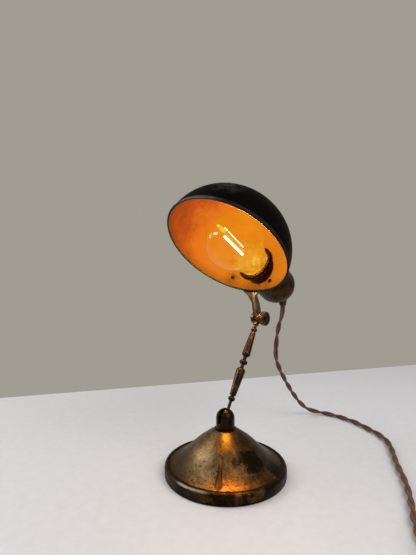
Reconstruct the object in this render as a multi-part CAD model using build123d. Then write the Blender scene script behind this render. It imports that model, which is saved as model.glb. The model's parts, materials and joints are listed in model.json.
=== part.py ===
from build123d import *
import math
import os

# Desk lamp: weighted bell base, stem on a ball, knuckle, half-dome shade and a twisted cord.
# Millimetres. +Z is up, the shade faces -Y, the knuckle pin runs along X, the origin is under the base.

# Base
base_diameter = 119.0
base_rim_height = 7.4
base_height = 42.4
shell_wall = 1.2
shell_floor_gap = 0.4
neck_flat_radius = 11.4
bell_radius_shares = (0.33, 0.51, 0.66, 0.81, 0.93)
bell_height_shares = (0.873, 0.682, 0.483, 0.328, 0.241)
felt_thickness = 2.0
felt_margin = 1.6
weight_gap = 0.4

# Threaded stud and the socket on its head
stud_radius = 5.0
thread_gap = 0.05
socket_flange_radius = 10.3
socket_flange_thickness = 1.2
socket_radius = 7.2
socket_wall = 1.1
socket_height = 4.6
nut_across_flats = 16.0
nut_height = 5.0
washer_radius = 10.0
washer_thickness = 1.4
nut_pocket_margin = 2.0
stud_tail = 1.0

# Ball, cup, disc spring and slotted cap
ball_radius = 6.2
ball_clearance = 0.1
pivot_above_flange = 9.4
cup_height = 3.6
cup_clearance = 0.1
cap_radius = 9.2
cap_lift = 0.3
running_gap = 0.08
slot_gap = 0.3
slot_front_angle = 110.0
slot_back_angle = 36.0
ring_section = 0.8
ring_opening_angle = 40.0
spring_sheet = 0.6
spring_bore_radius = 2.5

# Stem, measured from the ball's centre along the stem
stem_lean_angle = 30.3
stem_length = 108.9
rod_radius = 1.6
rod_depth_in_ball = 3.7
low_bead_share = 0.1754
low_bead_radius = 3.6
mid_bead_share = 0.53
mid_bead_radius = 4.3
top_bead_share = 0.8696
top_bead_radius = 3.4
bead_half_length = 2.4
bead_neck_radius = 1.9
bead_neck_length = 0.9
body_neck_length = 3.8
low_body_slim_radius = 3.2
low_body_full_radius = 4.8
top_body_full_radius = 4.4
top_body_slim_radius = 2.9
body_end_radius = 2.4
full_place_share = 0.85
shoulder_in_share = 0.3
shoulder_along_share = 0.7
stem_neck_radius = 1.75

# Knuckle
cheek_radius = 6.3
cheek_thickness = 3.9
cheek_round = 1.3
tongue_thickness = 3.6
tongue_eye_radius = 4.4
washer_sheet = 0.4
friction_washer_radius = 4.2
slot_floor_gap = 0.4
fork_boss_radius = 3.0
fork_boss_length = 2.4
bolt_radius = 2.0
bolt_head_radius = 3.6
bolt_head_height = 1.4
bolt_tail = 0.8
screw_slot_width = 0.8
screw_slot_depth = 0.7
nut_gap = 0.3
thumb_nut_radius = 7.6
thumb_nut_length = 3.7
thumb_nut_boss_radius = 4.6
thumb_nut_boss_length = 0.6
thumb_nut_dish_radius = 5.4
thumb_nut_dish_depth = 0.7
knurl_count = 30
knurl_radius = 0.45

# Shade, its rim placed from the knuckle pin
shade_radius = 65.0
shade_depth_share = 0.946
shade_wall = 0.9
shade_edge_radius = 1.1
rim_back = -5.94
rim_rise = 29.66
shade_facing_angle = 49.0

# Lampholder, placed where its axis crosses the shade wall
holder_crossing_share = 0.418
holder_tilt_angle = 11.0
holder_radius = 17.6
holder_wall = 1.0
holder_lip_radius = 19.2
holder_lip_length = 2.3
clamp_flange_radius = 18.9
clamp_flange_start = 2.0
clamp_flange_length = 2.4
holder_flange_radius = 20.2
holder_flange_start = 8.0
holder_flange_length = 3.0
holder_tail = 24.0
hole_gap = 0.3
shade_ring_radius = 20.3
shade_ring_length = 2.6
ring_wall_gap = 0.3
ring_lip_gap = 0.3
holder_cap_radius = 21.5
holder_cap_wall = 1.2
holder_cap_start = 7.5
holder_cap_round_place = 33.5
outlet_back = 15.0
outlet_boss_radius = 5.6
outlet_boss_length = 16.5
outlet_radius = 4.6
fit_gap = 0.1
core_radius = 16.55
core_front = -11.0
core_back = 27.0
sleeve_radius = 13.3
sleeve_wall = 0.4
sleeve_front = -5.0
sleeve_back = 16.0
core_floor = 20.5
contact_thickness = 0.6
contact_length = 16.0
contact_width = 6.0
terminal_place = 12.0
terminal_radius = 2.2
terminal_height = 2.4
bush_bore_radius = 3.0
bush_depth = 6.0
bush_length = 8.5
bush_cone_radius = 5.2
bush_tip_radius = 3.7

# Turn switch behind the porcelain core
switch_radius = 8.0
switch_length = 14.0
spindle_radius = 1.6
spindle_depth = 2.0
spindle_place = 36.0
spindle_hole_gap = 0.4
key_gap = 1.6
key_length = 11.0
key_width = 14.0
key_thickness = 3.0
key_round_share = 0.3
key_hub_radius = 3.0

# Bulb
bulb_radius = 30.0
bulb_length = 105.0
bulb_wall = 0.9
bulb_neck_radius = 13.6
bulb_shoulder_angle = 26.0
bulb_cap_radius = 13.1
bulb_cap_wall = 0.6
bulb_cap_length = 21.0
bulb_skirt_radius = 14.1
bulb_skirt_length = 3.0
bulb_skirt_front = -9.0
tip_insulator_radius = 6.5
tip_radius = 4.4
tip_length = 1.1
contact_gap = 0.2
mount_foot_length = 3.0
mount_rod_radius = 2.2
filament_count = 2
filament_radius = 0.9
filament_length = 35.0
filament_turn_angle = 72.0
filament_low_circle = 5.0
filament_high_circle = 5.4
wire_radius = 0.5
wire_gap = 0.15

# Bracket between the tongue and the shade
foot_half_spread = 24.17787
foot_swing_angle = -6.5
foot_depth = 10.8
foot_radius = 4.6
pad_stand = 1.65649
plate_thickness = 3.2
plate_end_depth = 15.0
plate_end_stand = 2.4
plate_rim_stand = 2.7
neck_rise = 16.6
neck_forward = 3.9
neck_depth = 7.6
neck_half_width = 2.4
hip_half_width = 4.8
hip_drop = 17.5
flare_width_share = 0.418
flare_drop = 11.0
arm_width_share = 0.836
arm_drop = 5.5
crotch_drop = 9.0
hip_shift_share = 0.6
wall_gap = 0.05
bracket_bore_gap = 0.06
foot_screw_radius = 1.3
foot_screw_head_radius = 2.1
foot_screw_head_height = 1.2
foot_screw_length = 9.0

# Cord
cord_radius = 2.9
cord_length = 1800.0
corner_share = 0.45
exit_run = 10.0
drop_side_places = (-6.4, -10.4, -14.5, -19.0, -19.5, -16.0, -5.0, 14.0)
drop_back_places = (0.8, 2.3, 6.3, 29.9, 62.9, 85.9, 101.9, 106.9)
drop_height_shares = (0.839, 0.72, 0.575, 0.403, 0.173, 0.042, 0.004, 0.0)
run_side_places = (42.0, 62.0, 82.0, 97.0, 109.0, 119.0, 139.0, 154.0, 163.0, 174.0)
run_back_places = (208.5, 198.5, 188.0, 174.0, 151.0, 128.0, 92.0, 54.0, 28.0, 9.0)
coil_side_place = 218.0
coil_back_place = 27.0
coil_pitch = 7.6
coil_layer = 7.0
coil_first_radius = 40.2
coil_half_turns_in = 5
coil_half_turns_out = 6
coil_lift = 1.3
entry_side_places = (-29.0, -14.0)
entry_back_places = (6.0, 0.0)
tail_side_places = (14.0, 29.0, 43.0, 52.0)
tail_back_places = (0.0, 4.0, 13.0, 26.0)
tail_drop_shares = (0.0, 0.3, 0.7, 1.0)
plug_run = 14.0
tie_band = 0.8
tie_width = 6.0
tie_gap = 0.3

# Plug
plug_length = 36.0
plug_width = 26.0
plug_height = 14.0
plug_round_share = 0.4
plug_shoulder = 20.0
plug_bevel = 2.0
plug_tail_width = 11.0
plug_tail_height = 10.0
pin_radius = 2.0
pin_length = 19.0
pin_spacing = 18.6
pin_seat = 4.0

# One length that every cut runs past the faces it opens, and the angles every lamp shares
overrun = 1.0
quarter_turn = 90.0
full_turn = 360.0

os.makedirs("parts", exist_ok=True)


def keep(name, shape):
    export_step(shape, f"parts/{name}.step")
    print(f"{name}: {len(shape.solids())} solid(s), {shape.volume:.1f} mm3")
    return shape


def turned(*edges):
    # A solid of revolution about Z from edges drawn in the XZ plane.
    return revolve(make_face(Wire(edges)), axis=Axis.Z)


def lines(*points):
    # Straight edges through (radius, height) points.
    places = [Vector(r, 0, z) for r, z in points]
    return [Edge.make_line(a, b) for a, b in zip(places, places[1:])]


def lathe(*points):
    return turned(*lines(*points, points[0]))


def arc(start, middle, end):
    ends = [Vector(r, 0, z) for r, z in (start, middle, end)]
    return Edge.make_three_point_arc(*ends)


def tube(outer, inner, low, high):
    return lathe((inner, low), (outer, low), (outer, high), (inner, high))


def rod(radius, low, high):
    return lathe((0, low), (radius, low), (radius, high), (0, high))


def along_x(shape):
    # Turns a solid of revolution about Z so that its +Z end points along +X.
    return Rot(0, 90, 0) * shape


# Places worked out from the driving sizes
base_radius = base_diameter / 2
flange_top = base_height + socket_flange_thickness
pivot_height = flange_top + pivot_above_flange
stem_frame = Location((0, 0, pivot_height), (-stem_lean_angle, 0, 0))
knuckle = (stem_frame * Location((0, 0, stem_length))).position
knuckle_frame = Location(knuckle, (-stem_lean_angle, 0, 0))
shade_depth = shade_radius * shade_depth_share
holder_crossing_depth = shade_depth * holder_crossing_share
shade_turn = shade_facing_angle - quarter_turn
rim_way = Vector(0, math.cos(math.radians(shade_turn)), math.sin(math.radians(shade_turn)))
rim_centre = knuckle + Vector(0, rim_back, rim_rise) - rim_way * shade_radius
shade_frame = Location(rim_centre, (shade_turn, 0, 0))


def wall_radius(depth, radius=shade_radius, height=shade_depth):
    # Radius of the half-ellipse dome at a depth behind its rim.
    return radius * math.sqrt(1 - (depth / height) ** 2)


crossing = shade_frame * Location((0, wall_radius(holder_crossing_depth), holder_crossing_depth))
holder_turn = shade_turn + holder_tilt_angle - quarter_turn
holder_frame = Location(crossing.position, (holder_turn, 0, 0))
round_centre = (holder_frame * Location((0, 0, holder_cap_round_place))).position
outlet_frame = Location(round_centre + Vector(0, outlet_back, 0), (quarter_turn * 2, 0, 0))


# Base shell: vertical rim, then an ogee that climbs to a flat under the socket
def bell_edge(radius, top, rim, flat):
    places = [(base_radius * r, base_height * h) for r, h in zip(bell_radius_shares, bell_height_shares)]
    inset = base_radius - radius
    shifted = [Vector(r - inset, 0, h - (base_height - top)) for r, h in places]
    points = [Vector(flat, 0, top), *shifted, Vector(radius, 0, rim)]
    return Edge.make_spline(points)


shell_low = shell_floor_gap
shell_inner = base_radius - shell_wall
inner_top = base_height - shell_wall
inner_rim = base_rim_height - shell_wall
stud_hole = stud_radius + fit_gap
inner_flat = neck_flat_radius - shell_wall
base_shell = turned(
    *lines((stud_hole, inner_top), (stud_hole, base_height), (neck_flat_radius, base_height)),
    bell_edge(base_radius, base_height, base_rim_height, neck_flat_radius),
    *lines((base_radius, base_rim_height), (base_radius, shell_low), (shell_inner, shell_low),
           (shell_inner, inner_rim)),
    bell_edge(shell_inner, inner_top, inner_rim, inner_flat),
    *lines((inner_flat, inner_top), (stud_hole, inner_top)))
keep("base_shell", base_shell)

# Cast weight: fills the shell with a little room all round, with a pocket for the nut
weight_radius = shell_inner - weight_gap
weight_rim = inner_rim - weight_gap
weight_top = inner_top - weight_gap
weight_flat = inner_flat - weight_gap
pocket_radius = washer_radius + nut_pocket_margin
pocket_top = felt_thickness + stud_tail + nut_height + washer_thickness
weight = turned(
    *lines((stud_hole, inner_top), (stud_hole, pocket_top), (pocket_radius, pocket_top),
           (pocket_radius, felt_thickness), (weight_radius, felt_thickness), (weight_radius, weight_rim)),
    bell_edge(weight_radius, weight_top, weight_rim, weight_flat),
    *lines((weight_flat, weight_top), (weight_flat, inner_top), (stud_hole, inner_top)))
keep("base_weight", weight)
keep("felt_pad", rod(shell_inner - felt_margin, 0, felt_thickness))

# Stud with its flange and cup-shaped head, pulled down by a washer and a hex nut
socket_bore = socket_radius - socket_wall
socket_top = flange_top + socket_height
groove_low = flange_top + socket_height / 2
groove_depth = socket_wall / 2
stud_low = pocket_top - washer_thickness - nut_height
socket = lathe(
    (0, stud_low), (stud_radius, stud_low), (stud_radius, base_height), (socket_flange_radius, base_height),
    (socket_flange_radius, flange_top), (socket_radius, flange_top), (socket_radius, groove_low),
    (socket_radius - groove_depth, groove_low), (socket_radius - groove_depth, groove_low + ring_section),
    (socket_radius, groove_low + ring_section), (socket_radius, socket_top), (socket_bore, socket_top),
    (socket_bore, flange_top), (0, flange_top))
keep("socket_stud", socket)
stud_washer = tube(washer_radius, stud_hole, pocket_top - washer_thickness, pocket_top)
keep("stud_washer", stud_washer)
nut_blank = extrude(RegularPolygon(nut_across_flats / 2, 6, major_radius=False), nut_height)
nut_blank -= rod(stud_radius + thread_gap, -overrun, nut_height + overrun)
keep("stud_nut", Pos(0, 0, stud_low) * nut_blank)

# Disc spring, cup and ball inside the socket
cup_low = pivot_height - ball_radius - (pivot_height - ball_radius - flange_top) / 2
cup_radius = socket_bore - cup_clearance
seat = Pos(0, 0, pivot_height) * Sphere(ball_radius + ball_clearance)
cup = rod(cup_radius, cup_low, cup_low + cup_height) - seat
keep("ball_cup", cup)
spring_rise = cup_low - flange_top - spring_sheet
disc_spring = lathe(
    (spring_bore_radius, flange_top + spring_rise), (cup_radius, flange_top),
    (cup_radius, flange_top + spring_sheet), (spring_bore_radius, cup_low))
keep("disc_spring", disc_spring)
ball_hole = rod(rod_radius + thread_gap, ball_radius - rod_depth_in_ball, ball_radius + overrun)
keep("stem_ball", stem_frame * (Sphere(ball_radius) - ball_hole))

# Slotted cap that turns on the socket, and the split ring that keeps it there
cap_low = flange_top + cap_lift
cap_bore = socket_radius + running_gap
ball_bore = ball_radius + ball_clearance
shoulder = socket_top + cap_lift
dome_angle = math.radians(45)
cap_groove = cap_bore + groove_depth
groove_top = groove_low + ring_section
cap_body = turned(
    *lines((ball_bore, pivot_height), (ball_bore, shoulder), (cap_bore, shoulder), (cap_bore, groove_top),
           (cap_groove, groove_top), (cap_groove, groove_low), (cap_bore, groove_low), (cap_bore, cap_low),
           (cap_radius, cap_low), (cap_radius, pivot_height)),
    arc((cap_radius, pivot_height),
        (cap_radius * math.cos(dome_angle), pivot_height + cap_radius * math.sin(dome_angle)),
        (0, pivot_height + cap_radius)),
    *lines((0, pivot_height + cap_radius), (0, pivot_height + ball_bore)),
    arc((0, pivot_height + ball_bore),
        (ball_bore * math.cos(dome_angle), pivot_height + ball_bore * math.sin(dome_angle)),
        (ball_bore, pivot_height)))
slot_half = rod_radius + slot_gap
slot_reach = cap_radius / math.sin(math.radians(slot_front_angle)) + overrun
slot_end = rod(slot_half, 0, slot_reach)
slot_sector = [Vector(0, 0, 0)]
for angle in (-slot_front_angle, (slot_back_angle - slot_front_angle) / 2, slot_back_angle):
    turn = math.radians(angle)
    slot_sector.append(Vector(0, math.sin(turn), math.cos(turn)) * slot_reach)
sector_face = make_face(Wire([
    Edge.make_line(slot_sector[0], slot_sector[1]),
    Edge.make_three_point_arc(*slot_sector[1:]),
    Edge.make_line(slot_sector[3], slot_sector[0])]))
slot = extrude(sector_face, slot_half, dir=(1, 0, 0), both=True)
slot += Rot(slot_front_angle, 0, 0) * slot_end
slot += Rot(-slot_back_angle, 0, 0) * slot_end
keep("swivel_cap", cap_body - Pos(0, 0, pivot_height) * slot)
ring_inner = socket_radius - groove_depth + running_gap
ring_outer = cap_groove - running_gap
ring_low = groove_low + running_gap
split_ring = tube(ring_outer, ring_inner, ring_low, groove_top - running_gap)
ring_cut = Pos(0, -ring_outer, groove_low) * Box(
    ring_outer * math.sin(math.radians(ring_opening_angle)), ring_outer, ring_section * 2)
keep("cap_ring", split_ring - ring_cut)


# Stem: thin rod, bead, body widening upwards, bead, body narrowing upwards, bead, thin neck
low_bead_place = stem_length * low_bead_share
mid_bead_place = stem_length * mid_bead_share
top_bead_place = stem_length * top_bead_share


def bead(place, radius, low_neck, high_neck):
    low, high = place - bead_half_length, place + bead_half_length
    return [arc((low_neck, low), (radius, place), (high_neck, high))]


def shoulder_arc(full, full_radius, end):
    # The rounded wide end of a body, from its fullest ring to the neck.
    middle = (full_radius - (full_radius - body_end_radius) * shoulder_in_share,
              full + (end - full) * shoulder_along_share)
    return [(full_radius, full), middle, (body_end_radius, end)]


low_body_start = low_bead_place + bead_half_length + bead_neck_length
low_body_end = mid_bead_place - bead_half_length - body_neck_length
top_body_start = mid_bead_place + bead_half_length + body_neck_length
top_body_end = top_bead_place - bead_half_length - bead_neck_length
low_full = low_body_start + (low_body_end - low_body_start) * full_place_share
top_full = top_body_end - (top_body_end - top_body_start) * full_place_share
low_shoulder = shoulder_arc(low_full, low_body_full_radius, low_body_end)
top_shoulder = shoulder_arc(top_full, top_body_full_radius, top_body_start)
rod_end = ball_radius - rod_depth_in_ball
neck_end = stem_length - cheek_radius - fork_boss_length / 2
spindle = turned(
    *lines((0, rod_end), (rod_radius, rod_end), (rod_radius, low_bead_place - bead_half_length)),
    *bead(low_bead_place, low_bead_radius, rod_radius, bead_neck_radius),
    *lines((bead_neck_radius, low_bead_place + bead_half_length), (bead_neck_radius, low_body_start),
           (low_body_slim_radius, low_body_start), low_shoulder[0]),
    arc(*low_shoulder),
    *lines(low_shoulder[2], (bead_neck_radius, low_body_end),
           (bead_neck_radius, mid_bead_place - bead_half_length)),
    *bead(mid_bead_place, mid_bead_radius, bead_neck_radius, bead_neck_radius),
    *lines((bead_neck_radius, mid_bead_place + bead_half_length), (bead_neck_radius, top_body_start),
           top_shoulder[2]),
    arc(*top_shoulder[::-1]),
    *lines(top_shoulder[0], (top_body_slim_radius, top_body_end), (bead_neck_radius, top_body_end),
           (bead_neck_radius, top_bead_place - bead_half_length)),
    *bead(top_bead_place, top_bead_radius, bead_neck_radius, stem_neck_radius),
    *lines((stem_neck_radius, top_bead_place + bead_half_length), (stem_neck_radius, neck_end),
           (0, neck_end), (0, rod_end)))
keep("stem_spindle", stem_frame * spindle)

# Fork at the top of the stem: two round cheeks with a slot for the bracket's tongue
half_slot = tongue_thickness / 2 + washer_sheet
half_fork = half_slot + cheek_thickness
slot_floor = tongue_eye_radius + slot_floor_gap
fork = along_x(rod(cheek_radius, -half_fork, half_fork))
fork = fillet(fork.edges().filter_by(GeomType.CIRCLE), cheek_round)
boss_low = -cheek_radius - fork_boss_length
fork += rod(fork_boss_radius, boss_low, -slot_floor)
fork -= Pos(0, 0, cheek_radius - slot_floor) * Box(half_slot * 2, cheek_radius * 4, cheek_radius * 2)
fork -= along_x(rod(bolt_radius + thread_gap, -half_fork - overrun, half_fork + overrun))
fork -= rod(stem_neck_radius + thread_gap, boss_low - overrun, neck_end - stem_length)
keep("knuckle_fork", knuckle_frame * fork)

# Pivot bolt with a slotted round head on the left cheek, and friction washers beside the tongue
nut_start = half_fork + nut_gap
nut_end = nut_start + thumb_nut_boss_length + thumb_nut_length
bolt = rod(bolt_radius, -half_fork, nut_end + bolt_tail)
bolt += rod(bolt_head_radius, -half_fork - bolt_head_height, -half_fork)
bolt -= Pos(0, 0, -half_fork - bolt_head_height) * Box(
    bolt_head_radius * 3, screw_slot_width, screw_slot_depth * 2)
keep("pivot_bolt", knuckle_frame * along_x(bolt))
washer = tube(friction_washer_radius, bolt_radius + fit_gap, tongue_thickness / 2 + running_gap, half_slot)
washers = Compound([knuckle_frame * along_x(washer), knuckle_frame * along_x(Rot(180, 0, 0) * washer)])
keep("friction_washers", washers)

# Knurled thumb nut with a dished face
thumb_nut = rod(thumb_nut_boss_radius, nut_start, nut_start + thumb_nut_boss_length)
thumb_nut += rod(thumb_nut_radius, nut_start + thumb_nut_boss_length, nut_end)
thumb_nut -= rod(thumb_nut_dish_radius, nut_end - thumb_nut_dish_depth, nut_end + overrun)
thumb_nut -= rod(bolt_radius + running_gap, nut_start - overrun, nut_end + overrun)
groove_start = nut_start + thumb_nut_boss_length / 2
groove = Pos(thumb_nut_radius, 0, 0) * rod(knurl_radius, groove_start, nut_end + overrun)
thumb_nut -= [Rot(0, 0, full_turn * k / knurl_count) * groove for k in range(knurl_count)]
keep("thumb_nut", knuckle_frame * along_x(thumb_nut))


# Shade: half-ellipse dome with a rolled edge, a hole for the lampholder and two screw holes
def dome(radius, depth):
    quarter = EllipticalCenterArc((0, 0), radius, depth, arc_size=quarter_turn)
    edges = [Rot(90, 0, 0) * quarter, *lines((0, depth), (0, 0), (radius, 0))]
    return turned(*edges)


def holder_local(place):
    # A location on the lampholder axis, in the shade's own frame.
    return shade_frame.inverse() * holder_frame * Location((0, 0, place))


foot_radial = wall_radius(foot_depth)
foot_angle = math.degrees(math.asin(foot_half_spread / foot_radial))
pad_height = pad_stand + foot_radial * (1 - math.cos(math.radians(foot_angle)))
foot_slope = math.degrees(math.atan2(foot_depth * shade_radius ** 2, foot_radial * shade_depth ** 2))


def foot_frame(side):
    # On the outside of the wall, +Z pointing out square to it.
    round_axis = side * foot_angle + foot_swing_angle
    turn = math.radians(round_axis)
    place = (foot_radial * math.sin(turn), foot_radial * math.cos(turn), foot_depth)
    facing = Location((0, 0, 0), (0, 0, -round_axis))
    facing *= Location((0, 0, 0), (foot_slope - quarter_turn, 0, 0))
    return Location(place) * facing


inner_radius = shade_radius - shade_wall
inner_depth = shade_depth - shade_wall
seat_samples = 72


def wall_place(turn):
    # Where the shade ring's edge, moved along the lampholder's axis, meets the inside of the dome.
    edge = (shade_ring_radius * math.cos(turn), shade_ring_radius * math.sin(turn), 0)
    place = (holder_local(0) * Location(edge)).position
    way = (holder_local(holder_radius).position - holder_local(0).position).normalized()
    from_centre = Vector(place.X / inner_radius, place.Y / inner_radius, place.Z / inner_depth)
    step_out = Vector(way.X / inner_radius, way.Y / inner_radius, way.Z / inner_depth)
    along = from_centre.dot(step_out)
    rest = from_centre.dot(from_centre) - 1
    return (math.sqrt(along ** 2 - step_out.dot(step_out) * rest) - along) / step_out.dot(step_out)


ring_seat = min(wall_place(math.radians(full_turn * k / seat_samples)) for k in range(seat_samples))
ring_back = ring_seat - ring_wall_gap
ring_front = ring_back - shade_ring_length
lip_back = ring_front - ring_lip_gap
holder_front = lip_back - holder_lip_length
print(f"shade ring from {ring_front:.2f} to {ring_back:.2f}, lampholder front at {holder_front:.2f}")
dome_shell = dome(shade_radius, shade_depth) - dome(inner_radius, inner_depth)
rolled_edge = Torus(shade_radius - shade_wall / 2, shade_edge_radius)
shade = dome_shell + rolled_edge
holder_hole = rod(holder_radius + hole_gap, holder_front, -holder_front)
shade -= holder_local(0) * holder_hole
screw_hole = rod(foot_screw_radius + hole_gap, -shade_wall * 3, shade_wall * 3)
for side in (-1, 1):
    shade -= foot_frame(side) * screw_hole
keep("shade", shade_frame * shade)


# Bracket: side profile across the full width, cut to a Y outline, with an eye and two feet
def in_plane(radius, depth):
    # A point of the shade's middle plane, given its radius and its depth behind the rim.
    return (shade_frame * Location((0, radius, depth))).position


neck = knuckle + Vector(0, -neck_forward, neck_rise)
rim_place = in_plane(shade_radius + plate_rim_stand, 0)
end_place = in_plane(wall_radius(plate_end_depth) + plate_end_stand, plate_end_depth)
half_plate = plate_thickness / 2
half_neck = neck_depth / 2
plate_way = (end_place - rim_place).normalized()
plate_out = Vector(0, -plate_way.Z, plate_way.Y) * -half_plate
neck_out = Vector(0, half_neck, 0)
front_side = [knuckle - neck_out, neck - neck_out, rim_place - plate_out, end_place - plate_out]
back_side = [end_place + plate_out, rim_place + plate_out, neck + neck_out, knuckle + neck_out]
side_face = make_face(Wire([
    Edge.make_spline(front_side), Edge.make_line(front_side[-1], back_side[0]),
    Edge.make_spline(back_side), Edge.make_line(back_side[-1], front_side[0])]))
strip = extrude(side_face, shade_radius, dir=(1, 0, 0), both=True)

foot_world = [(shade_frame * foot_frame(side)).position for side in (-1, 1)]
foot_middle = (foot_world[0].X + foot_world[1].X) / 2
foot_half_span = (foot_world[1].X - foot_world[0].X) / 2
foot_high = (foot_world[0].Z + foot_world[1].Z) / 2
foot_reach = foot_half_span + foot_radius
half_tongue = tongue_thickness / 2


def outline_edges(side):
    # Half of the Y outline: up the tongue and the neck, out along the arm, round the foot to the crotch.
    def at(half_width, height, shift_share):
        return Vector(side * half_width + foot_middle * shift_share, 0, height)

    outer = [
        at(half_tongue, knuckle.Z, 0), at(half_tongue, knuckle.Z + cheek_radius, 0),
        at(neck_half_width, neck.Z, 0), at(hip_half_width, foot_high - hip_drop, hip_shift_share),
        at(foot_reach * flare_width_share, foot_high - flare_drop, 1),
        at(foot_reach * arm_width_share, foot_high - arm_drop, 1), at(foot_reach, foot_high, 1)]
    top = at(foot_half_span, foot_high + foot_radius, 1)
    inner = at(foot_half_span - foot_radius, foot_high, 1)
    edges = [Edge.make_line(a, b) for a, b in zip(outer, outer[1:])]
    edges.append(Edge.make_three_point_arc(outer[-1], top, inner))
    edges.append(Edge.make_line(inner, at(0, foot_high - crotch_drop, 1)))
    return edges


foot_line = Edge.make_line(Vector(-half_tongue, 0, knuckle.Z), Vector(half_tongue, 0, knuckle.Z))
y_face = make_face(Wire([*outline_edges(-1), *outline_edges(1), foot_line]))
y_prism = extrude(y_face, shade_radius * 2, dir=(0, 1, 0), both=True)
bracket = strip & y_prism
bracket += knuckle_frame * along_x(rod(tongue_eye_radius, -half_tongue, half_tongue))
for side in (-1, 1):
    pad = rod(foot_radius, wall_gap, pad_height)
    bracket += shade_frame * foot_frame(side) * pad
bracket -= knuckle_frame * along_x(rod(bolt_radius + bracket_bore_gap, -cheek_radius, cheek_radius))
tapped = rod(foot_screw_radius + thread_gap, -overrun, foot_screw_length)
holder_room = rod(clamp_flange_radius + hole_gap, holder_front, holder_cap_start + overrun)
for side in (-1, 1):
    bracket -= shade_frame * foot_frame(side) * tapped
bracket -= shade_frame * dome(shade_radius + wall_gap, shade_depth + wall_gap)
bracket -= holder_frame * holder_room
keep("bracket", bracket)

# Two slotted screws, heads inside the shade
head_face = -shade_wall - fit_gap
foot_screw = rod(foot_screw_radius, head_face, head_face + foot_screw_length)
foot_screw += rod(foot_screw_head_radius, head_face - foot_screw_head_height, head_face)
foot_screw -= Pos(0, 0, head_face - foot_screw_head_height) * Box(
    foot_screw_head_radius * 3, screw_slot_width, screw_slot_depth * 2)
keep("bracket_screws", Compound([shade_frame * foot_frame(side) * foot_screw for side in (-1, 1)]))

# Lampholder body with a front lip and two flanges, and the ring that clamps the shade
holder_bore = holder_radius - holder_wall
clamp_back = clamp_flange_start + clamp_flange_length
flange_back = holder_flange_start + holder_flange_length
body = lathe(
    (holder_bore, holder_front), (holder_lip_radius, holder_front), (holder_lip_radius, lip_back),
    (holder_radius, lip_back), (holder_radius, clamp_flange_start),
    (clamp_flange_radius, clamp_flange_start), (clamp_flange_radius, clamp_back),
    (holder_radius, clamp_back), (holder_radius, holder_flange_start),
    (holder_flange_radius, holder_flange_start), (holder_flange_radius, flange_back),
    (holder_radius, flange_back), (holder_radius, holder_tail), (holder_bore, holder_tail))
keep("lampholder_body", holder_frame * body)
shade_ring = tube(shade_ring_radius, holder_radius + thread_gap, ring_front, ring_back)
keep("shade_ring", holder_frame * shade_ring)

# Domed cap behind the shade, with the cord outlet under its round end and a hole for the switch
cap_inner = holder_cap_radius - holder_cap_wall
outlet_local = holder_frame.inverse() * outlet_frame
cap_shell = rod(holder_cap_radius, holder_cap_start, holder_cap_round_place)
cap_shell += Pos(0, 0, holder_cap_round_place) * Sphere(holder_cap_radius)
cap_shell += outlet_local * rod(outlet_boss_radius, 0, outlet_boss_length)
cap_shell -= rod(cap_inner, -holder_cap_radius, holder_cap_round_place)
cap_shell -= Pos(0, 0, holder_cap_round_place) * Sphere(cap_inner)
cap_shell -= outlet_local * rod(outlet_radius + fit_gap, 0, holder_cap_radius + overrun)
cap_shell -= outlet_local * rod(
    bush_cone_radius + fit_gap, outlet_boss_length, holder_cap_radius + overrun)
spindle_hole = Pos(0, 0, spindle_place) * Rot(0, -90, 0) * rod(
    spindle_radius + spindle_hole_gap, 0, holder_cap_radius + overrun)
cap_shell -= spindle_hole
cap_shell -= rod(holder_cap_radius * 2, -holder_cap_radius * 2, holder_cap_start)
keep("lampholder_cap", holder_frame * cap_shell)

# Cord bush in the outlet: a sleeve in the boss and a cone below it
cone_top = outlet_boss_length + fit_gap
bush_out = cone_top + bush_length
bush_in = cone_top - bush_depth
bush = lathe(
    (bush_bore_radius, bush_in), (outlet_radius, bush_in), (outlet_radius, cone_top),
    (bush_cone_radius, cone_top), (bush_tip_radius, bush_out), (bush_bore_radius, bush_out))
keep("cord_bush", outlet_frame * bush)

# Porcelain core, threaded sleeve, centre contact and terminal screws
core_bore = sleeve_radius + sleeve_wall + fit_gap
mouth_radius = bulb_skirt_radius + hole_gap * 2
mouth_floor = sleeve_front - fit_gap
core = lathe(
    (mouth_radius, core_front), (core_radius, core_front), (core_radius, core_back), (0, core_back),
    (0, core_floor), (core_bore, core_floor), (core_bore, mouth_floor), (mouth_radius, mouth_floor))
terminal_hole = rod(terminal_radius / 2 + thread_gap, core_floor + contact_thickness, core_back + overrun)
for side in (-1, 1):
    core -= Pos(0, side * terminal_place, 0) * terminal_hole
keep("porcelain_core", holder_frame * core)
sleeve = tube(sleeve_radius + sleeve_wall, sleeve_radius, sleeve_front, sleeve_back)
keep("thread_sleeve", holder_frame * sleeve)
contact = Box(contact_width, contact_length, contact_thickness)
contact = Pos(0, 0, core_floor - contact_thickness / 2) * contact
keep("centre_contact", holder_frame * contact)
terminal = rod(terminal_radius / 2, core_floor + contact_thickness, core_back)
terminal += rod(terminal_radius, core_back, core_back + terminal_height)
terminals = [holder_frame * Pos(0, side * terminal_place, 0) * terminal for side in (-1, 1)]
keep("terminal_screws", Compound(terminals))

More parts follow.
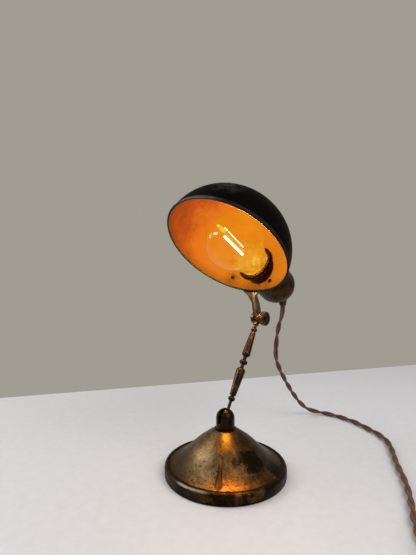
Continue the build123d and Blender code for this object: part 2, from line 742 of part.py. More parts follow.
# Turn switch: insulating block on the core, spindle out through the cap, thumb key on its end
switch_block = rod(switch_radius, core_back, core_back + switch_length)
switch_way = Pos(0, 0, spindle_place) * Rot(0, -90, 0)
switch_block -= switch_way * rod(spindle_radius + running_gap, -spindle_depth, switch_radius + overrun)
keep("switch_block", holder_frame * switch_block)
key_start = holder_cap_radius + key_gap
spindle_end = key_start + key_length / 2
switch_spindle = rod(spindle_radius, running_gap - spindle_depth, spindle_end)
keep("switch_spindle", holder_frame * switch_way * switch_spindle)
key_plate = Pos(0, 0, key_start + key_length / 2) * Box(key_width, key_thickness, key_length)
key_plate = fillet(key_plate.edges().filter_by(Axis.Y), key_width * key_round_share)
key_plate += rod(key_hub_radius, key_start - key_gap / 2, key_start + key_length / 2)
key_plate -= rod(spindle_radius + thread_gap, 0, spindle_end + thread_gap)
keep("switch_key", holder_frame * switch_way * key_plate)

# Bulb: blown glass, metal screw cap, insulator and tip, glass mount and light-giving rods
bulb_tip = core_floor - contact_thickness - contact_gap
globe_place = bulb_tip - bulb_length + bulb_radius
shoulder_turn = math.radians(bulb_shoulder_angle)
skirt_back = bulb_skirt_front + bulb_skirt_length


def bulb_side(radius, neck_radius):
    # From the crown over the globe to the shoulder, then down the neck.
    crown = (0, globe_place - radius)
    side = (radius, globe_place)
    shoulder_point = (radius * math.cos(shoulder_turn), globe_place + radius * math.sin(shoulder_turn))
    neck_end_point = (neck_radius, skirt_back)
    slope = Vector(-math.sin(shoulder_turn), 0, math.cos(shoulder_turn))
    ends = [Vector(shoulder_point[0], 0, shoulder_point[1]), Vector(neck_end_point[0], 0, neck_end_point[1])]
    return [arc(crown, side, shoulder_point), Edge.make_spline(ends, tangents=[slope, Vector(0, 0, 1)])]


inner_bulb = bulb_radius - bulb_wall
inner_neck = bulb_neck_radius - bulb_wall
glass = turned(
    *bulb_side(bulb_radius, bulb_neck_radius),
    *lines((bulb_neck_radius, skirt_back), (inner_neck, skirt_back)),
    *bulb_side(inner_bulb, inner_neck),
    *lines((0, globe_place - inner_bulb), (0, globe_place - bulb_radius)))
keep("bulb_glass", holder_frame * glass)
cap_back = skirt_back + bulb_cap_length
cap_start = skirt_back + bulb_cap_wall
inside_cap = bulb_cap_radius - bulb_cap_wall
bulb_cap = lathe(
    (bulb_neck_radius + fit_gap, bulb_skirt_front), (bulb_skirt_radius, bulb_skirt_front),
    (bulb_skirt_radius, skirt_back), (bulb_cap_radius, cap_start), (bulb_cap_radius, cap_back),
    (inside_cap, cap_back), (inside_cap, cap_start), (inner_neck, skirt_back),
    (bulb_neck_radius + fit_gap, skirt_back))
keep("bulb_cap", holder_frame * bulb_cap)
insulator_back = bulb_tip - tip_length
insulator = lathe(
    (0, cap_back - bulb_cap_wall), (inside_cap - fit_gap, cap_back - bulb_cap_wall),
    (inside_cap - fit_gap, cap_back), (bulb_cap_radius, cap_back),
    (tip_insulator_radius, insulator_back), (0, insulator_back))
keep("bulb_insulator", holder_frame * insulator)
keep("bulb_tip", holder_frame * rod(tip_radius, insulator_back, bulb_tip))
filament_low = globe_place + filament_length / 2
filament_high = globe_place - filament_length / 2
low_wire = filament_low + wire_radius + wire_gap
high_wire = filament_high - wire_radius - wire_gap
mount_end = high_wire - wire_radius
mount_foot_radius = inner_neck - fit_gap
mount = lathe(
    (0, skirt_back), (mount_foot_radius, skirt_back), (mount_foot_radius, skirt_back - mount_foot_length),
    (mount_rod_radius, skirt_back - mount_foot_length * 3), (mount_rod_radius, mount_end), (0, mount_end))
keep("bulb_mount", holder_frame * mount)
lean_out = math.degrees(math.atan2(filament_high_circle - filament_low_circle, filament_length))
mid_circle = (filament_high_circle + filament_low_circle) / 2
filament = Rot(0, -lean_out, 0) * Cylinder(filament_radius, filament_length)
filament = Pos(mid_circle, 0, globe_place) * filament
filament_turns = [filament_turn_angle + full_turn * k / filament_count for k in range(filament_count)]
filaments = [Rot(0, 0, turn) * filament for turn in filament_turns]
keep("bulb_filaments", Compound([holder_frame * rod_of_light for rod_of_light in filaments]))


def spider(circle, place):
    # A wire ring with arms to the glass rod.
    ring = Pos(0, 0, place) * Torus(circle, wire_radius)
    arm = Pos((circle + mount_rod_radius) / 2, 0, place) * Rot(0, 90, 0) * Cylinder(
        wire_radius, circle - mount_rod_radius)
    arms = [Rot(0, 0, full_turn * k / filament_count) * arm for k in range(filament_count)]
    return Rot(0, 0, filament_turn_angle) * (ring + arms)


low_spider = spider(filament_low_circle, low_wire)
high_spider = spider(filament_high_circle, high_wire)
keep("bulb_wires", Compound([holder_frame * low_spider, holder_frame * high_spider]))

# Cord route: out of the bush, down to the table, round to the right and into the coil
cord_start = outlet_frame * Location((0, 0, bush_out))
table_height = cord_radius + fit_gap
coil_height = cord_radius + coil_lift
start = cord_start.position
drop_points = [start, (cord_start * Location((0, 0, exit_run))).position]
for x, y, share in zip(drop_side_places, drop_back_places, drop_height_shares):
    drop_points.append(Vector(x, start.Y + y, table_height + share * (start.Z - table_height)))
run_points = [Vector(x, y, table_height) for x, y in zip(run_side_places, run_back_places)]
coil_centre = Vector(coil_side_place, coil_back_place, coil_height)
coil_start = coil_centre + Vector(-cord_radius * 2, -coil_first_radius, 0)
run_points += [coil_start + Vector(x, y, 0) for x, y in zip(entry_side_places, entry_back_places)]


def corner_radii(points):
    radii = []
    for before, here, after in zip(points, points[1:], points[2:]):
        into, out = here - before, after - here
        turn = math.radians(into.get_angle(out))
        radii.append(corner_share * min(into.length, out.length) / math.tan(turn / 2))
    return radii


def cord_tube(name, points):
    radii = corner_radii(points)
    path = FilletPolyline(*points, radius=radii)
    section = Plane(path @ 0, z_dir=path % 0) * Circle(cord_radius)
    solid = sweep(section, path=path)
    share = solid.volume / (math.pi * cord_radius ** 2 * path.length)
    print(f"{name}: length {path.length:.1f}, volume share {share:.4f}")
    print(f"{name}: corner radii {[round(r, 1) for r in radii]}")
    keep(name, solid)
    return path.length


split = (drop_points[-1] + run_points[0]) / 2
drop_length = cord_tube("cord_drop", [*drop_points, split])
run_length = cord_tube("cord_run", [split, *run_points, coil_start])

# Coil: half turns spiralling in, one half turn that climbs a layer, half turns spiralling out
half_pitch = coil_pitch / 2
coil_radii = [coil_first_radius - half_pitch * k for k in range(coil_half_turns_in + 1)]
coil_radii += [coil_radii[-1] + half_pitch * k for k in range(coil_half_turns_out + 1)]
coil_layers = [0] * (coil_half_turns_in + 1) + [coil_layer] * (coil_half_turns_out + 1)
coil_points = []
for k, (radius, layer) in enumerate(zip(coil_radii, coil_layers)):
    side = 1 if k % 2 else -1
    coil_points.append(coil_centre + Vector(0, side * radius, layer))


def half_turn(low, high, way):
    # Two tangent quarter arcs from low to high that leave along way and arrive against it.
    middle = (low + high) / 2 + way * ((high - low).length / 2)
    first_arc = Edge.make_tangent_arc(low, way, middle)
    second_arc = Edge.make_tangent_arc(middle, first_arc % 1, high)
    return [first_arc, second_arc]


coil_edges = [Edge.make_line(coil_start, coil_points[0])]
for k, (low, high) in enumerate(zip(coil_points, coil_points[1:])):
    coil_edges += half_turn(low, high, Vector(-1 if k % 2 else 1, 0, 0))
coil_end = coil_points[-1] + Vector(cord_radius * 2 * (-1 if len(coil_points) % 2 == 0 else 1), 0, 0)
coil_edges.append(Edge.make_line(coil_points[-1], coil_end))
coil_path = Wire(coil_edges)
coil = sweep(Plane(coil_path @ 0, z_dir=coil_path % 0) * Circle(cord_radius), path=coil_path)
keep("cord_coil", coil)
samples = 600
step = coil_path.length / samples
on_coil = [coil_path @ (k / samples) for k in range(samples + 1)]
apart = int(cord_radius * 6 / step)
least = coil_first_radius
for i, here in enumerate(on_coil):
    least = min([least] + [(here - there).length for there in on_coil[i + apart:]])
print(f"coil length {coil_path.length:.1f}, least gap to itself {least - cord_radius * 2:.2f}")

# Tie round the coil's turns on its far side
tie_inner = min(coil_radii) - cord_radius - tie_gap
tie_outer = max(coil_radii) + cord_radius + tie_gap
tie_long = tie_outer - tie_inner
tie_tall = coil_layer + cord_radius * 2 + tie_gap * 2
tie_middle = coil_centre + Vector((tie_inner + tie_outer) / 2, 0, coil_layer / 2)
tie_face = RectangleRounded(tie_long + tie_band * 2, tie_tall + tie_band * 2, cord_radius)
tie_face -= RectangleRounded(tie_long, tie_tall, cord_radius - tie_band)
tie = extrude(Rot(90, 0, 0) * tie_face, tie_width / 2, both=True)
keep("cord_tie", Pos(*tie_middle) * tie)

# Tail from the coil to the plug, which lies flat beside the coil
plug_rest = plug_height / 2
tail_fall = coil_end.Z - plug_rest
tail_points = [coil_end]
for x, y, share in zip(tail_side_places, tail_back_places, tail_drop_shares):
    tail_points.append(coil_end + Vector(x, y, -share * tail_fall))
plug_place = tail_points[-1] + Vector(0, plug_run, 0)
plug_entry = Location(plug_place, (-90, 0, 0))
tail_points.append(plug_place)
tail_length = cord_tube("cord_tail", tail_points)
total = drop_length + run_length + coil_path.length + tail_length
print(f"cord length {total:.0f} of {cord_length:.0f}")

# Two-pin plug: slim tail, wide body, rounded nose
sections = [
    (0, plug_tail_width, plug_tail_height), (plug_shoulder, plug_width, plug_height),
    (plug_length - plug_bevel, plug_width, plug_height),
    (plug_length, plug_width - plug_bevel, plug_height - plug_bevel)]
plug_faces = []
for place, wide, tall in sections:
    plug_faces.append(Pos(0, 0, place) * RectangleRounded(wide, tall, tall * plug_round_share))
plug = loft(plug_faces, ruled=True)
pin_hole = rod(pin_radius + thread_gap, plug_length - pin_seat, plug_length + overrun)
plug -= [Pos(side * pin_spacing / 2, 0, 0) * pin_hole for side in (-1, 1)]
keep("plug_body", plug_entry * plug)
pin = rod(pin_radius, plug_length - pin_seat, plug_length + pin_length)
keep("plug_pins", Compound([plug_entry * Pos(side * pin_spacing / 2, 0, 0) * pin for side in (-1, 1)]))
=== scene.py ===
import bpy
import bmesh
import json
import math
import numpy as np
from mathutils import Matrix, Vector


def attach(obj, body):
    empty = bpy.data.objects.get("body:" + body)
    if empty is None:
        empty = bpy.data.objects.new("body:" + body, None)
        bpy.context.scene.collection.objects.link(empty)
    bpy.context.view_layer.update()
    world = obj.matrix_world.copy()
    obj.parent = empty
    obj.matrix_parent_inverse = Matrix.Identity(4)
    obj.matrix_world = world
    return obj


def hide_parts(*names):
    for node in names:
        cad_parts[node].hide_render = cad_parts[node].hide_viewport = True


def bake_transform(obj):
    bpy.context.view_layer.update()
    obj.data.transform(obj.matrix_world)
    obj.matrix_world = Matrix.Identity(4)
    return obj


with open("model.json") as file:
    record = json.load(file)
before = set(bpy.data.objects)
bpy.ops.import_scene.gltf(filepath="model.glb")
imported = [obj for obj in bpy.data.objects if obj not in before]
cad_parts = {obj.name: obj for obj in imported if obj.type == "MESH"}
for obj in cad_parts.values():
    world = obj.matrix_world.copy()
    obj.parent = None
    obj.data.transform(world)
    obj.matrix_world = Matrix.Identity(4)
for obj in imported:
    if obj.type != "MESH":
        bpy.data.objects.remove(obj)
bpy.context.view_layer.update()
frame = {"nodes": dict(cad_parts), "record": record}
nodes = frame["nodes"]
scene = bpy.context.scene
scene.view_settings.view_transform = "Standard"
mm = 0.001            # profiles and routes are listed in millimetres, all else is in metres
sameSpot = 1e-7       # points closer than this become one
print("frame loaded,", len(nodes), "solids")


# small tools for meshes
def axisFrame(origin, zAxis):
    # a frame whose z runs along zAxis and whose x stays the lamp's x
    z = np.array(zAxis, float)
    z /= np.linalg.norm(z)
    x = np.array((1.0, 0.0, 0.0))
    return np.array(origin, float), np.stack((x, np.cross(z, x), z))


def placed(points, place):
    # local points become lamp points: origin plus each coordinate times its axis
    origin, axes = place
    return origin + points @ axes


def unit(rows):
    # each row divided by its own length
    return rows / np.linalg.norm(rows, axis=-1, keepdims=True)


def alongPath(path):
    # the length of the path up to each of its points
    return np.concatenate(([0], np.cumsum(np.linalg.norm(np.diff(path, axis=0), axis=1))))


def shown(name, data):
    # a new object in the scene, at the origin
    thing = bpy.data.objects.new(name, data)
    scene.collection.objects.link(thing)
    return thing


def surface(name, grid, material, wrapU=False, wrapV=False, uvScale=(1.0, 1.0), sharp=40, keep=None):
    # a grid of points [u, v] becomes quads, and u or v may close on itself;
    # keep tells from the quads' middles which of them stay
    nu, nv = grid.shape[:2]
    iu = np.arange(nu if wrapU else nu - 1)
    iv = np.arange(nv if wrapV else nv - 1)
    a, b = np.meshgrid(iu, iv, indexing="ij")
    corners = [(a, b), (a + 1, b), (a + 1, b + 1), (a, b + 1)]
    quads = np.stack([(p % nu) * nv + (q % nv) for p, q in corners], -1).reshape(-1, 4)
    shares = [np.stack((p / (nu - 1), q / (nv - 1)), -1) for p, q in corners]
    uvs = np.stack(shares, -2).reshape(-1, 4, 2) * np.array(uvScale)
    if keep:
        stays = keep(grid.reshape(-1, 3)[quads].mean(1))
        quads, uvs = quads[stays], uvs[stays]
    mesh = bpy.data.meshes.new(name)
    mesh.vertices.add(nu * nv)
    mesh.vertices.foreach_set("co", grid.reshape(-1).astype(np.float32))
    mesh.loops.add(quads.size)
    mesh.loops.foreach_set("vertex_index", quads.reshape(-1).astype(np.int32))
    mesh.polygons.add(len(quads))
    mesh.polygons.foreach_set("loop_start", (np.arange(len(quads)) * 4).astype(np.int32))
    uvLayer = mesh.uv_layers.new(name="uv")
    uvLayer.data.foreach_set("uv", uvs.reshape(-1).astype(np.float32))
    mesh.update(calc_edges=True)
    work = bmesh.new()
    work.from_mesh(mesh)
    bmesh.ops.remove_doubles(work, verts=work.verts, dist=sameSpot)
    bmesh.ops.dissolve_degenerate(work, edges=work.edges, dist=sameSpot)
    loose = [v for v in work.verts if not v.link_faces]
    bmesh.ops.delete(work, geom=loose, context="VERTS")
    work.to_mesh(mesh)
    work.free()
    mesh.polygons.foreach_set("use_smooth", np.ones(len(mesh.polygons), bool))
    mesh.set_sharp_from_angle(angle=math.radians(sharp))
    mesh.materials.append(material)
    return shown(name, mesh)


def joined(name, *pieces):
    # several meshes become one object that keeps every face, uv and material
    work = bmesh.new()
    materials = []
    for piece in pieces:
        base = len(materials)
        materials += list(piece.data.materials)
        start = len(work.faces)
        work.from_mesh(piece.data)
        work.faces.ensure_lookup_table()
        for face in work.faces[start:]:
            face.material_index += base
    bmesh.ops.remove_doubles(work, verts=work.verts, dist=sameSpot)
    mesh = bpy.data.meshes.new(name)
    work.to_mesh(mesh)
    work.free()
    for material in materials:
        mesh.materials.append(material)
    for piece in pieces:
        old = piece.data
        bpy.data.objects.remove(piece)
        bpy.data.meshes.remove(old)
    return shown(name, mesh)


def throughPoints(points, count):
    # Catmull-Rom curve through the points, evenly many samples per span: a cubic in t from four neighbours
    p = np.array(points, float)
    p = np.concatenate((2 * p[:1] - p[1:2], p, 2 * p[-1:] - p[-2:-1]))
    t = np.linspace(0, 1, count, endpoint=False)[:, None]
    spans = []
    for a, b, c, d in zip(p[:-3], p[1:-2], p[2:-1], p[3:]):
        square = 2 * a - 5 * b + 4 * c - d
        cube = 3 * b - a - 3 * c + d
        spans.append(0.5 * (2 * b + (c - a) * t + square * t ** 2 + cube * t ** 3))
    return np.concatenate(spans + [p[-2:-1]])


def lathe(name, profile, place, material, segments, sharp=40, loop=False, keep=None):
    # turn a profile of (radius, height) round the frame's z: x and y are radius times cosine and sine
    angle = np.linspace(0, 2 * math.pi, segments, endpoint=False)[:, None]
    r, z = np.broadcast_to(profile.T[:, None, :], (2, segments, len(profile)))
    grid = placed(np.stack((r * np.cos(angle), r * np.sin(angle), z), -1), place)
    return surface(name, grid, material, wrapU=True, wrapV=loop, sharp=sharp, keep=keep)


def sweepTube(name, path, radius, sides, material, uvLength):
    # a round section carried along path with least twist:
    # each side vector is the last one made square to the path
    tangent = unit(np.gradient(path, axis=0))
    side = np.zeros_like(path)
    side[0] = unit(np.cross(tangent[0], (0.31, 0.22, 0.93)))     # any direction off the path starts it
    for k in range(1, len(path)):
        side[k] = unit(side[k - 1] - tangent[k] * (side[k - 1] @ tangent[k]))
    up = np.cross(tangent, side)
    angle = np.linspace(0, 2 * math.pi, sides, endpoint=False)[None, :, None]
    grid = path[:, None] + (np.cos(angle) * side[:, None] + np.sin(angle) * up[:, None]) * radius
    return surface(name, grid, material, wrapV=True, uvScale=(alongPath(path)[-1] / uvLength, 1.0), sharp=60)


# camera
cameraPlace = dict(at=(0.24324, -0.28593, 0.19127), way=(-0.6820, 0.7314, 0.0),
                   lens=24.65, sensor=36.0, near=0.005)


def facing(way):
    # the turn that makes a camera or lamp look along way
    return Vector(way).to_track_quat("-Z", "Y").to_euler()


lens = bpy.data.cameras.new("camera")
lens.sensor_fit = "VERTICAL"
lens.sensor_height = cameraPlace["sensor"]
lens.lens = cameraPlace["lens"]
lens.clip_start = cameraPlace["near"]
camera = shown("camera", lens)
camera.location = cameraPlace["at"]
camera.rotation_euler = facing(cameraPlace["way"])
scene.camera = camera
print("camera set")


# material tools
class Finish:
    # one node material: nodes are added by short calls and read back as sockets
    def __init__(self, name, **shader):
        self.material = bpy.data.materials.new(name)
        self.material.use_nodes = True
        self.tree = self.material.node_tree
        self.shader = self.tree.nodes["Principled BSDF"]
        self.coords = self.tree.nodes.new("ShaderNodeTexCoord").outputs
        self.use(**shader)

    def feed(self, socket, value):
        # a socket takes another node's output or a plain value
        if hasattr(value, "is_output"):
            self.tree.links.new(value, socket)
        else:
            socket.default_value = value

    def use(self, **sockets):
        for key, value in sockets.items():
            self.feed(self.shader.inputs[key.replace("_", " ")], value)
        return self.material

    def node(self, kind, sockets, **settings):
        made = self.tree.nodes.new("ShaderNode" + kind)
        for key, value in settings.items():
            setattr(made, key, value)
        for key, value in sockets.items():
            self.feed(made.inputs[key], value)
        return made.outputs

    def noise(self, scale, detail, rough, distortion=0.0):
        sockets = dict(Scale=scale, Detail=detail, Roughness=rough, Distortion=distortion)
        return self.node("TexNoise", dict(sockets, Vector=self.coords["Object"]))["Fac"]

    def cells(self, scale):
        return self.node("TexVoronoi", dict(Scale=scale, Vector=self.coords["Object"]))["Distance"]

    def ramp(self, value, *stops):
        made = self.tree.nodes.new("ShaderNodeValToRGB")
        elements = made.color_ramp.elements
        while len(elements) < len(stops):
            elements.new(0.5)
        for element, (place, tone) in zip(elements, stops):
            element.position = place
            tone = (tone,) * 3 if isinstance(tone, (int, float)) else tone
            element.color = (*tone, 1.0)
        self.feed(made.inputs["Fac"], value)
        return made.outputs["Color"]

    def mix(self, share, low, high):
        low, high = (tone if hasattr(tone, "is_output") else (*tone, 1.0) for tone in (low, high))
        return self.node("Mix", {0: share, 6: low, 7: high}, data_type="RGBA", blend_type="MIX")[2]

    def math(self, kind, a, b=0.0):
        return self.node("Math", {0: a, 1: b}, operation=kind)[0]

    def times(self, first, *others):
        for other in others:
            first = self.math("MULTIPLY", first, other)
        return first

    def plus(self, a, b):
        return self.math("ADD", a, b)

    def minus(self, a, b):
        return self.math("SUBTRACT", a, b)

    def most(self, a, b):
        return self.math("MAXIMUM", a, b)

    def hypot(self, a, b):
        # the root of both squares' sum
        return self.math("SQRT", self.plus(self.times(a, a), self.times(b, b)))

    def stray(self, noise, reach):
        # noise centred on zero, times a reach
        return self.times(self.minus(noise, 0.5), reach)

    def axis(self, name, space="Object"):
        return self.node("SeparateXYZ", {0: self.coords[space]})[name]

    def polar(self):
        # distance from the upright axis and angle round it
        x, y = self.axis("X"), self.axis("Y")
        return self.hypot(x, y), self.math("ARCTAN2", y, x)

    def vector(self, kind, other):
        # one number from the point and another vector: their distance or their dot product
        return self.node("VectorMath", {0: self.coords["Object"], 1: other}, operation=kind)["Value"]

    def span(self, value, low, high):
        # 0 at low, 1 at high, eased at both ends
        sockets = {"Value": value, "From Min": low, "From Max": high}
        return self.node("MapRange", sockets, interpolation_type="SMOOTHSTEP")["Result"]

    def near(self, place, full, gone):
        # 1 at one distance from a place, fading to 0 at another one
        return self.span(self.vector("DISTANCE", place), gone, full)

    def bump(self, height, strength, distance, after=None):
        sockets = dict(Strength=strength, Distance=distance, Height=height)
        if after:
            sockets["Normal"] = after
        return self.node("Bump", sockets)["Normal"]


print("tools ready")


# finishes: a mark is a place with the distances where it is full and gone, a pair is where something fades
baseMarks = dict(
    away=(-0.026, 0.028), awayLean=0.45,                               # x plus a share of y
    dullShadedRadius=(0.028, 0.042), dullShadedSide=(0.020, -0.010),
    blotches=[((0.036, -0.005, 0.023), 0.018, 1.0), ((0.051, 0.018, 0.011), 0.018, 1.0),
              ((0.029, -0.016, 0.026), 0.012, 0.45)],                  # place, reach, strength
    dripEnd=0.0498, dripTurn=0.985, dripSway=0.0030, dripTop=(0.0330, 0.0400),
    dripHalf=0.0014, dripMore=0.0018, dripWidens=(0.038, 0.0505),
    bareGlint=((0.037, -0.034, 0.0125), 0.004, 0.021), speckled=(0.034, 0.052), rougher=(0.040, 0.050),
    band=(0.0550, 0.0562), wornLitSide=(0.005, 0.045), grooveIn=(0.0538, 0.0549), grooveOut=(0.0574, 0.0564),
    lip=((0.010, -0.0575, 0.0100), 0.010, 0.020), lipHeight=(0.0084, 0.0096), lipRadius=(0.0570, 0.0580),
    foot=(0.0024, 0.0012))


def agedBase():
    f = Finish("agedBase", Metallic=1.0)
    m = baseMarks
    radius, angle = f.polar()
    large = f.noise(24.0, 6.0, 0.62)
    middle = f.noise(95.0, 6.0, 0.66)
    fine = f.noise(520.0, 4.0, 0.68)
    pits = f.cells(250.0)
    speck = f.cells(560.0)
    colour = f.ramp(large, (0.32, (0.080, 0.049, 0.020)), (0.50, (0.150, 0.102, 0.047)),
                    (0.66, (0.215, 0.162, 0.085)))
    colour = f.mix(f.ramp(middle, (0.48, 0.0), (0.64, 0.5)), colour, (0.200, 0.150, 0.080))
    colour = f.mix(f.ramp(middle, (0.34, 0.7), (0.45, 0.0)), colour, (0.070, 0.041, 0.018))
    colour = f.mix(f.ramp(fine, (0.40, 0.55), (0.54, 0.0)), colour, (0.046, 0.027, 0.012))
    # partly patina, partly painted shade: the side turned away from the window is browner and darker
    away = f.span(f.plus(f.axis("X"), f.times(f.axis("Y"), m["awayLean"])), *m["away"])
    brown = f.ramp(middle, (0.36, (0.018, 0.009, 0.004)), (0.52, (0.044, 0.022, 0.009)),
                   (0.66, (0.095, 0.052, 0.021)))
    colour = f.mix(f.times(away, 0.94), colour, brown)
    # painted shade: the lower left is darker in colour, and also rougher
    dullAndShaded = f.times(f.span(radius, *m["dullShadedRadius"]), f.span(f.axis("X"), *m["dullShadedSide"]))
    colour = f.mix(f.times(dullAndShaded, 0.92), colour, (0.030, 0.018, 0.007))
    # near-black blotches: three places, their edges broken up by noise
    ragged = f.noise(120.0, 8.0, 0.78, distortion=0.4)
    place = 0.0
    for spot, reach, strength in m["blotches"]:
        place = f.most(place, f.times(f.near(spot, 0.0, reach), strength))
    blotch = f.span(f.plus(place, f.stray(ragged, 3.2)), 0.15, 0.60)
    blotch = f.times(blotch, f.span(place, 0.02, 0.25))
    colour = f.mix(f.times(blotch, 0.95), colour, (0.005, 0.003, 0.002))
    # a drip down the bell: a round end, and above it a half width that narrows upwards
    beyond = f.most(f.minus(radius, m["dripEnd"]), 0.0)
    side = f.times(f.plus(angle, m["dripTurn"]), radius)
    side = f.plus(side, f.stray(middle, m["dripSway"]))
    half = f.plus(f.times(f.span(radius, *m["dripWidens"]), m["dripMore"]), m["dripHalf"])
    edge = f.minus(f.hypot(side, beyond), half)
    lasts = f.span(radius, *m["dripTop"])
    inside = f.times(f.span(edge, 0.0006, -0.0004), lasts)
    line = f.times(f.span(edge, 0.0009, 0.0002), f.span(edge, -0.0010, -0.0002), lasts)
    colour = f.mix(f.times(inside, 0.88), colour, (0.048, 0.019, 0.006))
    colour = f.mix(f.times(line, 0.9), colour, (0.009, 0.005, 0.003))
    # partly worn brass, partly a painted highlight: brighter orange brass low at the front, where the bulb's
    # glint falls
    bareGlint = f.times(f.near(*m["bareGlint"]), f.ramp(fine, (0.38, 0.35), (0.56, 1.0)), f.minus(1.0, inside))
    colour = f.mix(f.times(bareGlint, 0.42), colour, (0.290, 0.135, 0.036))
    # dark dots all over, finer specks thickening towards the brim
    some = f.ramp(middle, (0.40, 0.25), (0.55, 1.0))
    dots = f.times(f.ramp(pits, (0.15, 1.0), (0.27, 0.0)), some)
    colour = f.mix(f.times(dots, 0.92), colour, (0.006, 0.004, 0.002))
    thick = f.plus(f.times(f.span(radius, *m["speckled"]), 0.8), 0.2)
    specks = f.times(f.ramp(speck, (0.18, 1.0), (0.34, 0.0)), thick)
    colour = f.mix(f.times(specks, 0.92), colour, (0.010, 0.006, 0.003))
    # the upright rim is dark brown; on the right it is lighter orange-brown, partly worn brass and partly
    # painted lamplight, and the groove inside it is black
    band = f.span(radius, *m["band"])
    wornAndLit = f.times(f.ramp(middle, (0.48, 0.0), (0.62, 1.0)), f.span(f.axis("X"), *m["wornLitSide"]))
    rim = f.mix(f.ramp(middle, (0.42, 0.0), (0.62, 0.8)), (0.008, 0.004, 0.0015), (0.034, 0.018, 0.006))
    rim = f.mix(f.times(wornAndLit, 0.75), rim, (0.110, 0.058, 0.019))
    rim = f.mix(f.times(f.ramp(speck, (0.14, 1.0), (0.30, 0.0)), 0.7), rim, (0.006, 0.004, 0.003))
    colour = f.mix(f.times(band, 0.95), colour, rim)
    groove = f.times(f.span(radius, *m["grooveIn"]), f.span(radius, *m["grooveOut"]))
    colour = f.mix(f.times(groove, 0.94), colour, (0.005, 0.003, 0.002))
    # painted highlight: the lip's shoulder is lighter at the front, where the window shines on it; painted
    # shade: the rim's bottom edge is black, where it meets the table
    paler = f.times(f.near(*m["lip"]), f.span(f.axis("Z"), *m["lipHeight"]), f.span(radius, *m["lipRadius"]))
    colour = f.mix(f.times(paler, f.ramp(fine, (0.36, 0.4), (0.56, 1.0))), colour, (0.160, 0.140, 0.112))
    colour = f.mix(f.times(band, f.span(f.axis("Z"), *m["foot"])), colour, (0.004, 0.003, 0.002))
    rough = f.ramp(fine, (0.30, 0.29), (0.72, 0.47))
    rough = f.plus(rough, f.times(f.span(radius, *m["rougher"]), 0.08))
    rough = f.plus(rough, f.times(dullAndShaded, 0.07))
    rough = f.mix(f.most(blotch, f.times(inside, 0.4)), rough, (0.5, 0.5, 0.5))
    height = f.minus(f.times(fine, 0.3), f.plus(dots, f.times(specks, 0.6)))
    return f.use(Base_Color=colour, Roughness=rough, Normal=f.bump(height, 0.35, 0.0003))


def agedBrass():
    # brass in brown and gold patches, dulled by fine grain, with small dark pits
    f = Finish("agedBrass", Metallic=0.85)
    large = f.noise(60.0, 5.0, 0.6)
    fine = f.noise(380.0, 4.0, 0.65)
    pits = f.cells(520.0)
    colour = f.ramp(large, (0.32, (0.045, 0.027, 0.012)), (0.48, (0.130, 0.082, 0.032)),
                    (0.64, (0.235, 0.165, 0.064)))
    colour = f.mix(f.ramp(fine, (0.44, 0.0), (0.62, 0.5)), colour, (0.090, 0.060, 0.026))
    colour = f.mix(f.ramp(pits, (0.10, 0.8), (0.22, 0.0)), colour, (0.018, 0.011, 0.006))
    rough = f.ramp(fine, (0.35, 0.30), (0.70, 0.50))
    normal = f.bump(f.ramp(pits, (0.10, 0.0), (0.24, 1.0)), 0.25, 0.0002)
    return f.use(Base_Color=colour, Roughness=rough, Normal=f.bump(fine, 0.10, 0.0003, normal))


yokeMarks = dict(bendHeight=0.163, bendLean=0.27, sway=0.004, shadeBorder=(0.0014, -0.0014))


def bracketBrass():
    # olive-gold on the right, with painted shade in dark brown on the left; the border follows the yoke's
    # middle line
    f = Finish("bracketBrass", Metallic=0.85)
    m = yokeMarks
    large = f.noise(90.0, 5.0, 0.6)
    fine = f.noise(420.0, 4.0, 0.65)
    colour = f.ramp(large, (0.34, (0.070, 0.046, 0.018)), (0.52, (0.150, 0.104, 0.042)),
                    (0.68, (0.230, 0.165, 0.068)))
    # painted shade: dark brown left of the yoke's middle line
    shift = f.times(f.most(f.minus(f.axis("Z"), m["bendHeight"]), 0.0), m["bendLean"])
    across = f.plus(f.plus(f.axis("X"), shift), f.stray(large, m["sway"]))
    colour = f.mix(f.times(f.span(across, *m["shadeBorder"]), 0.92), colour, (0.020, 0.009, 0.004))
    colour = f.mix(f.ramp(fine, (0.46, 0.0), (0.64, 0.5)), colour, (0.030, 0.018, 0.008))
    rough = f.ramp(fine, (0.3, 0.34), (0.7, 0.54))
    return f.use(Base_Color=colour, Roughness=rough, Normal=f.bump(fine, 0.12, 0.0003))


def darkBronze(name, *tones):
    # three tones of one brown, worn lighter in patches, with fine dark grain
    f = Finish(name, Metallic=0.9)
    large = f.noise(70.0, 5.0, 0.6)
    fine = f.noise(520.0, 4.0, 0.6)
    pits = f.cells(460.0)
    colour = f.ramp(large, *zip((0.34, 0.52, 0.68), tones))
    colour = f.mix(f.ramp(fine, (0.45, 0.0), (0.7, 0.6)), colour, tones[0])
    colour = f.mix(f.ramp(pits, (0.08, 0.8), (0.20, 0.0)), colour, (0.006, 0.004, 0.003))
    rough = f.ramp(fine, (0.3, 0.24), (0.7, 0.42))
    normal = f.bump(f.ramp(pits, (0.08, 0.0), (0.22, 1.0)), 0.2, 0.0002)
    return f.use(Base_Color=colour, Roughness=rough, Normal=f.bump(fine, 0.1, 0.0003, normal))


shadeMarks = dict(
    crown=((0.024, -0.024, 0.2735), 0.002, 0.019), behind=(0.020, 0.060),
    sheenLowRight=((0.055, 0.050, 0.205), 0.010, 0.050), rimFront=((0.004, -0.048, 0.2610), 0.008, 0.034),
    rimOutside=((0.0, -0.000053, 0.219328), 0.0653, 0.0643))


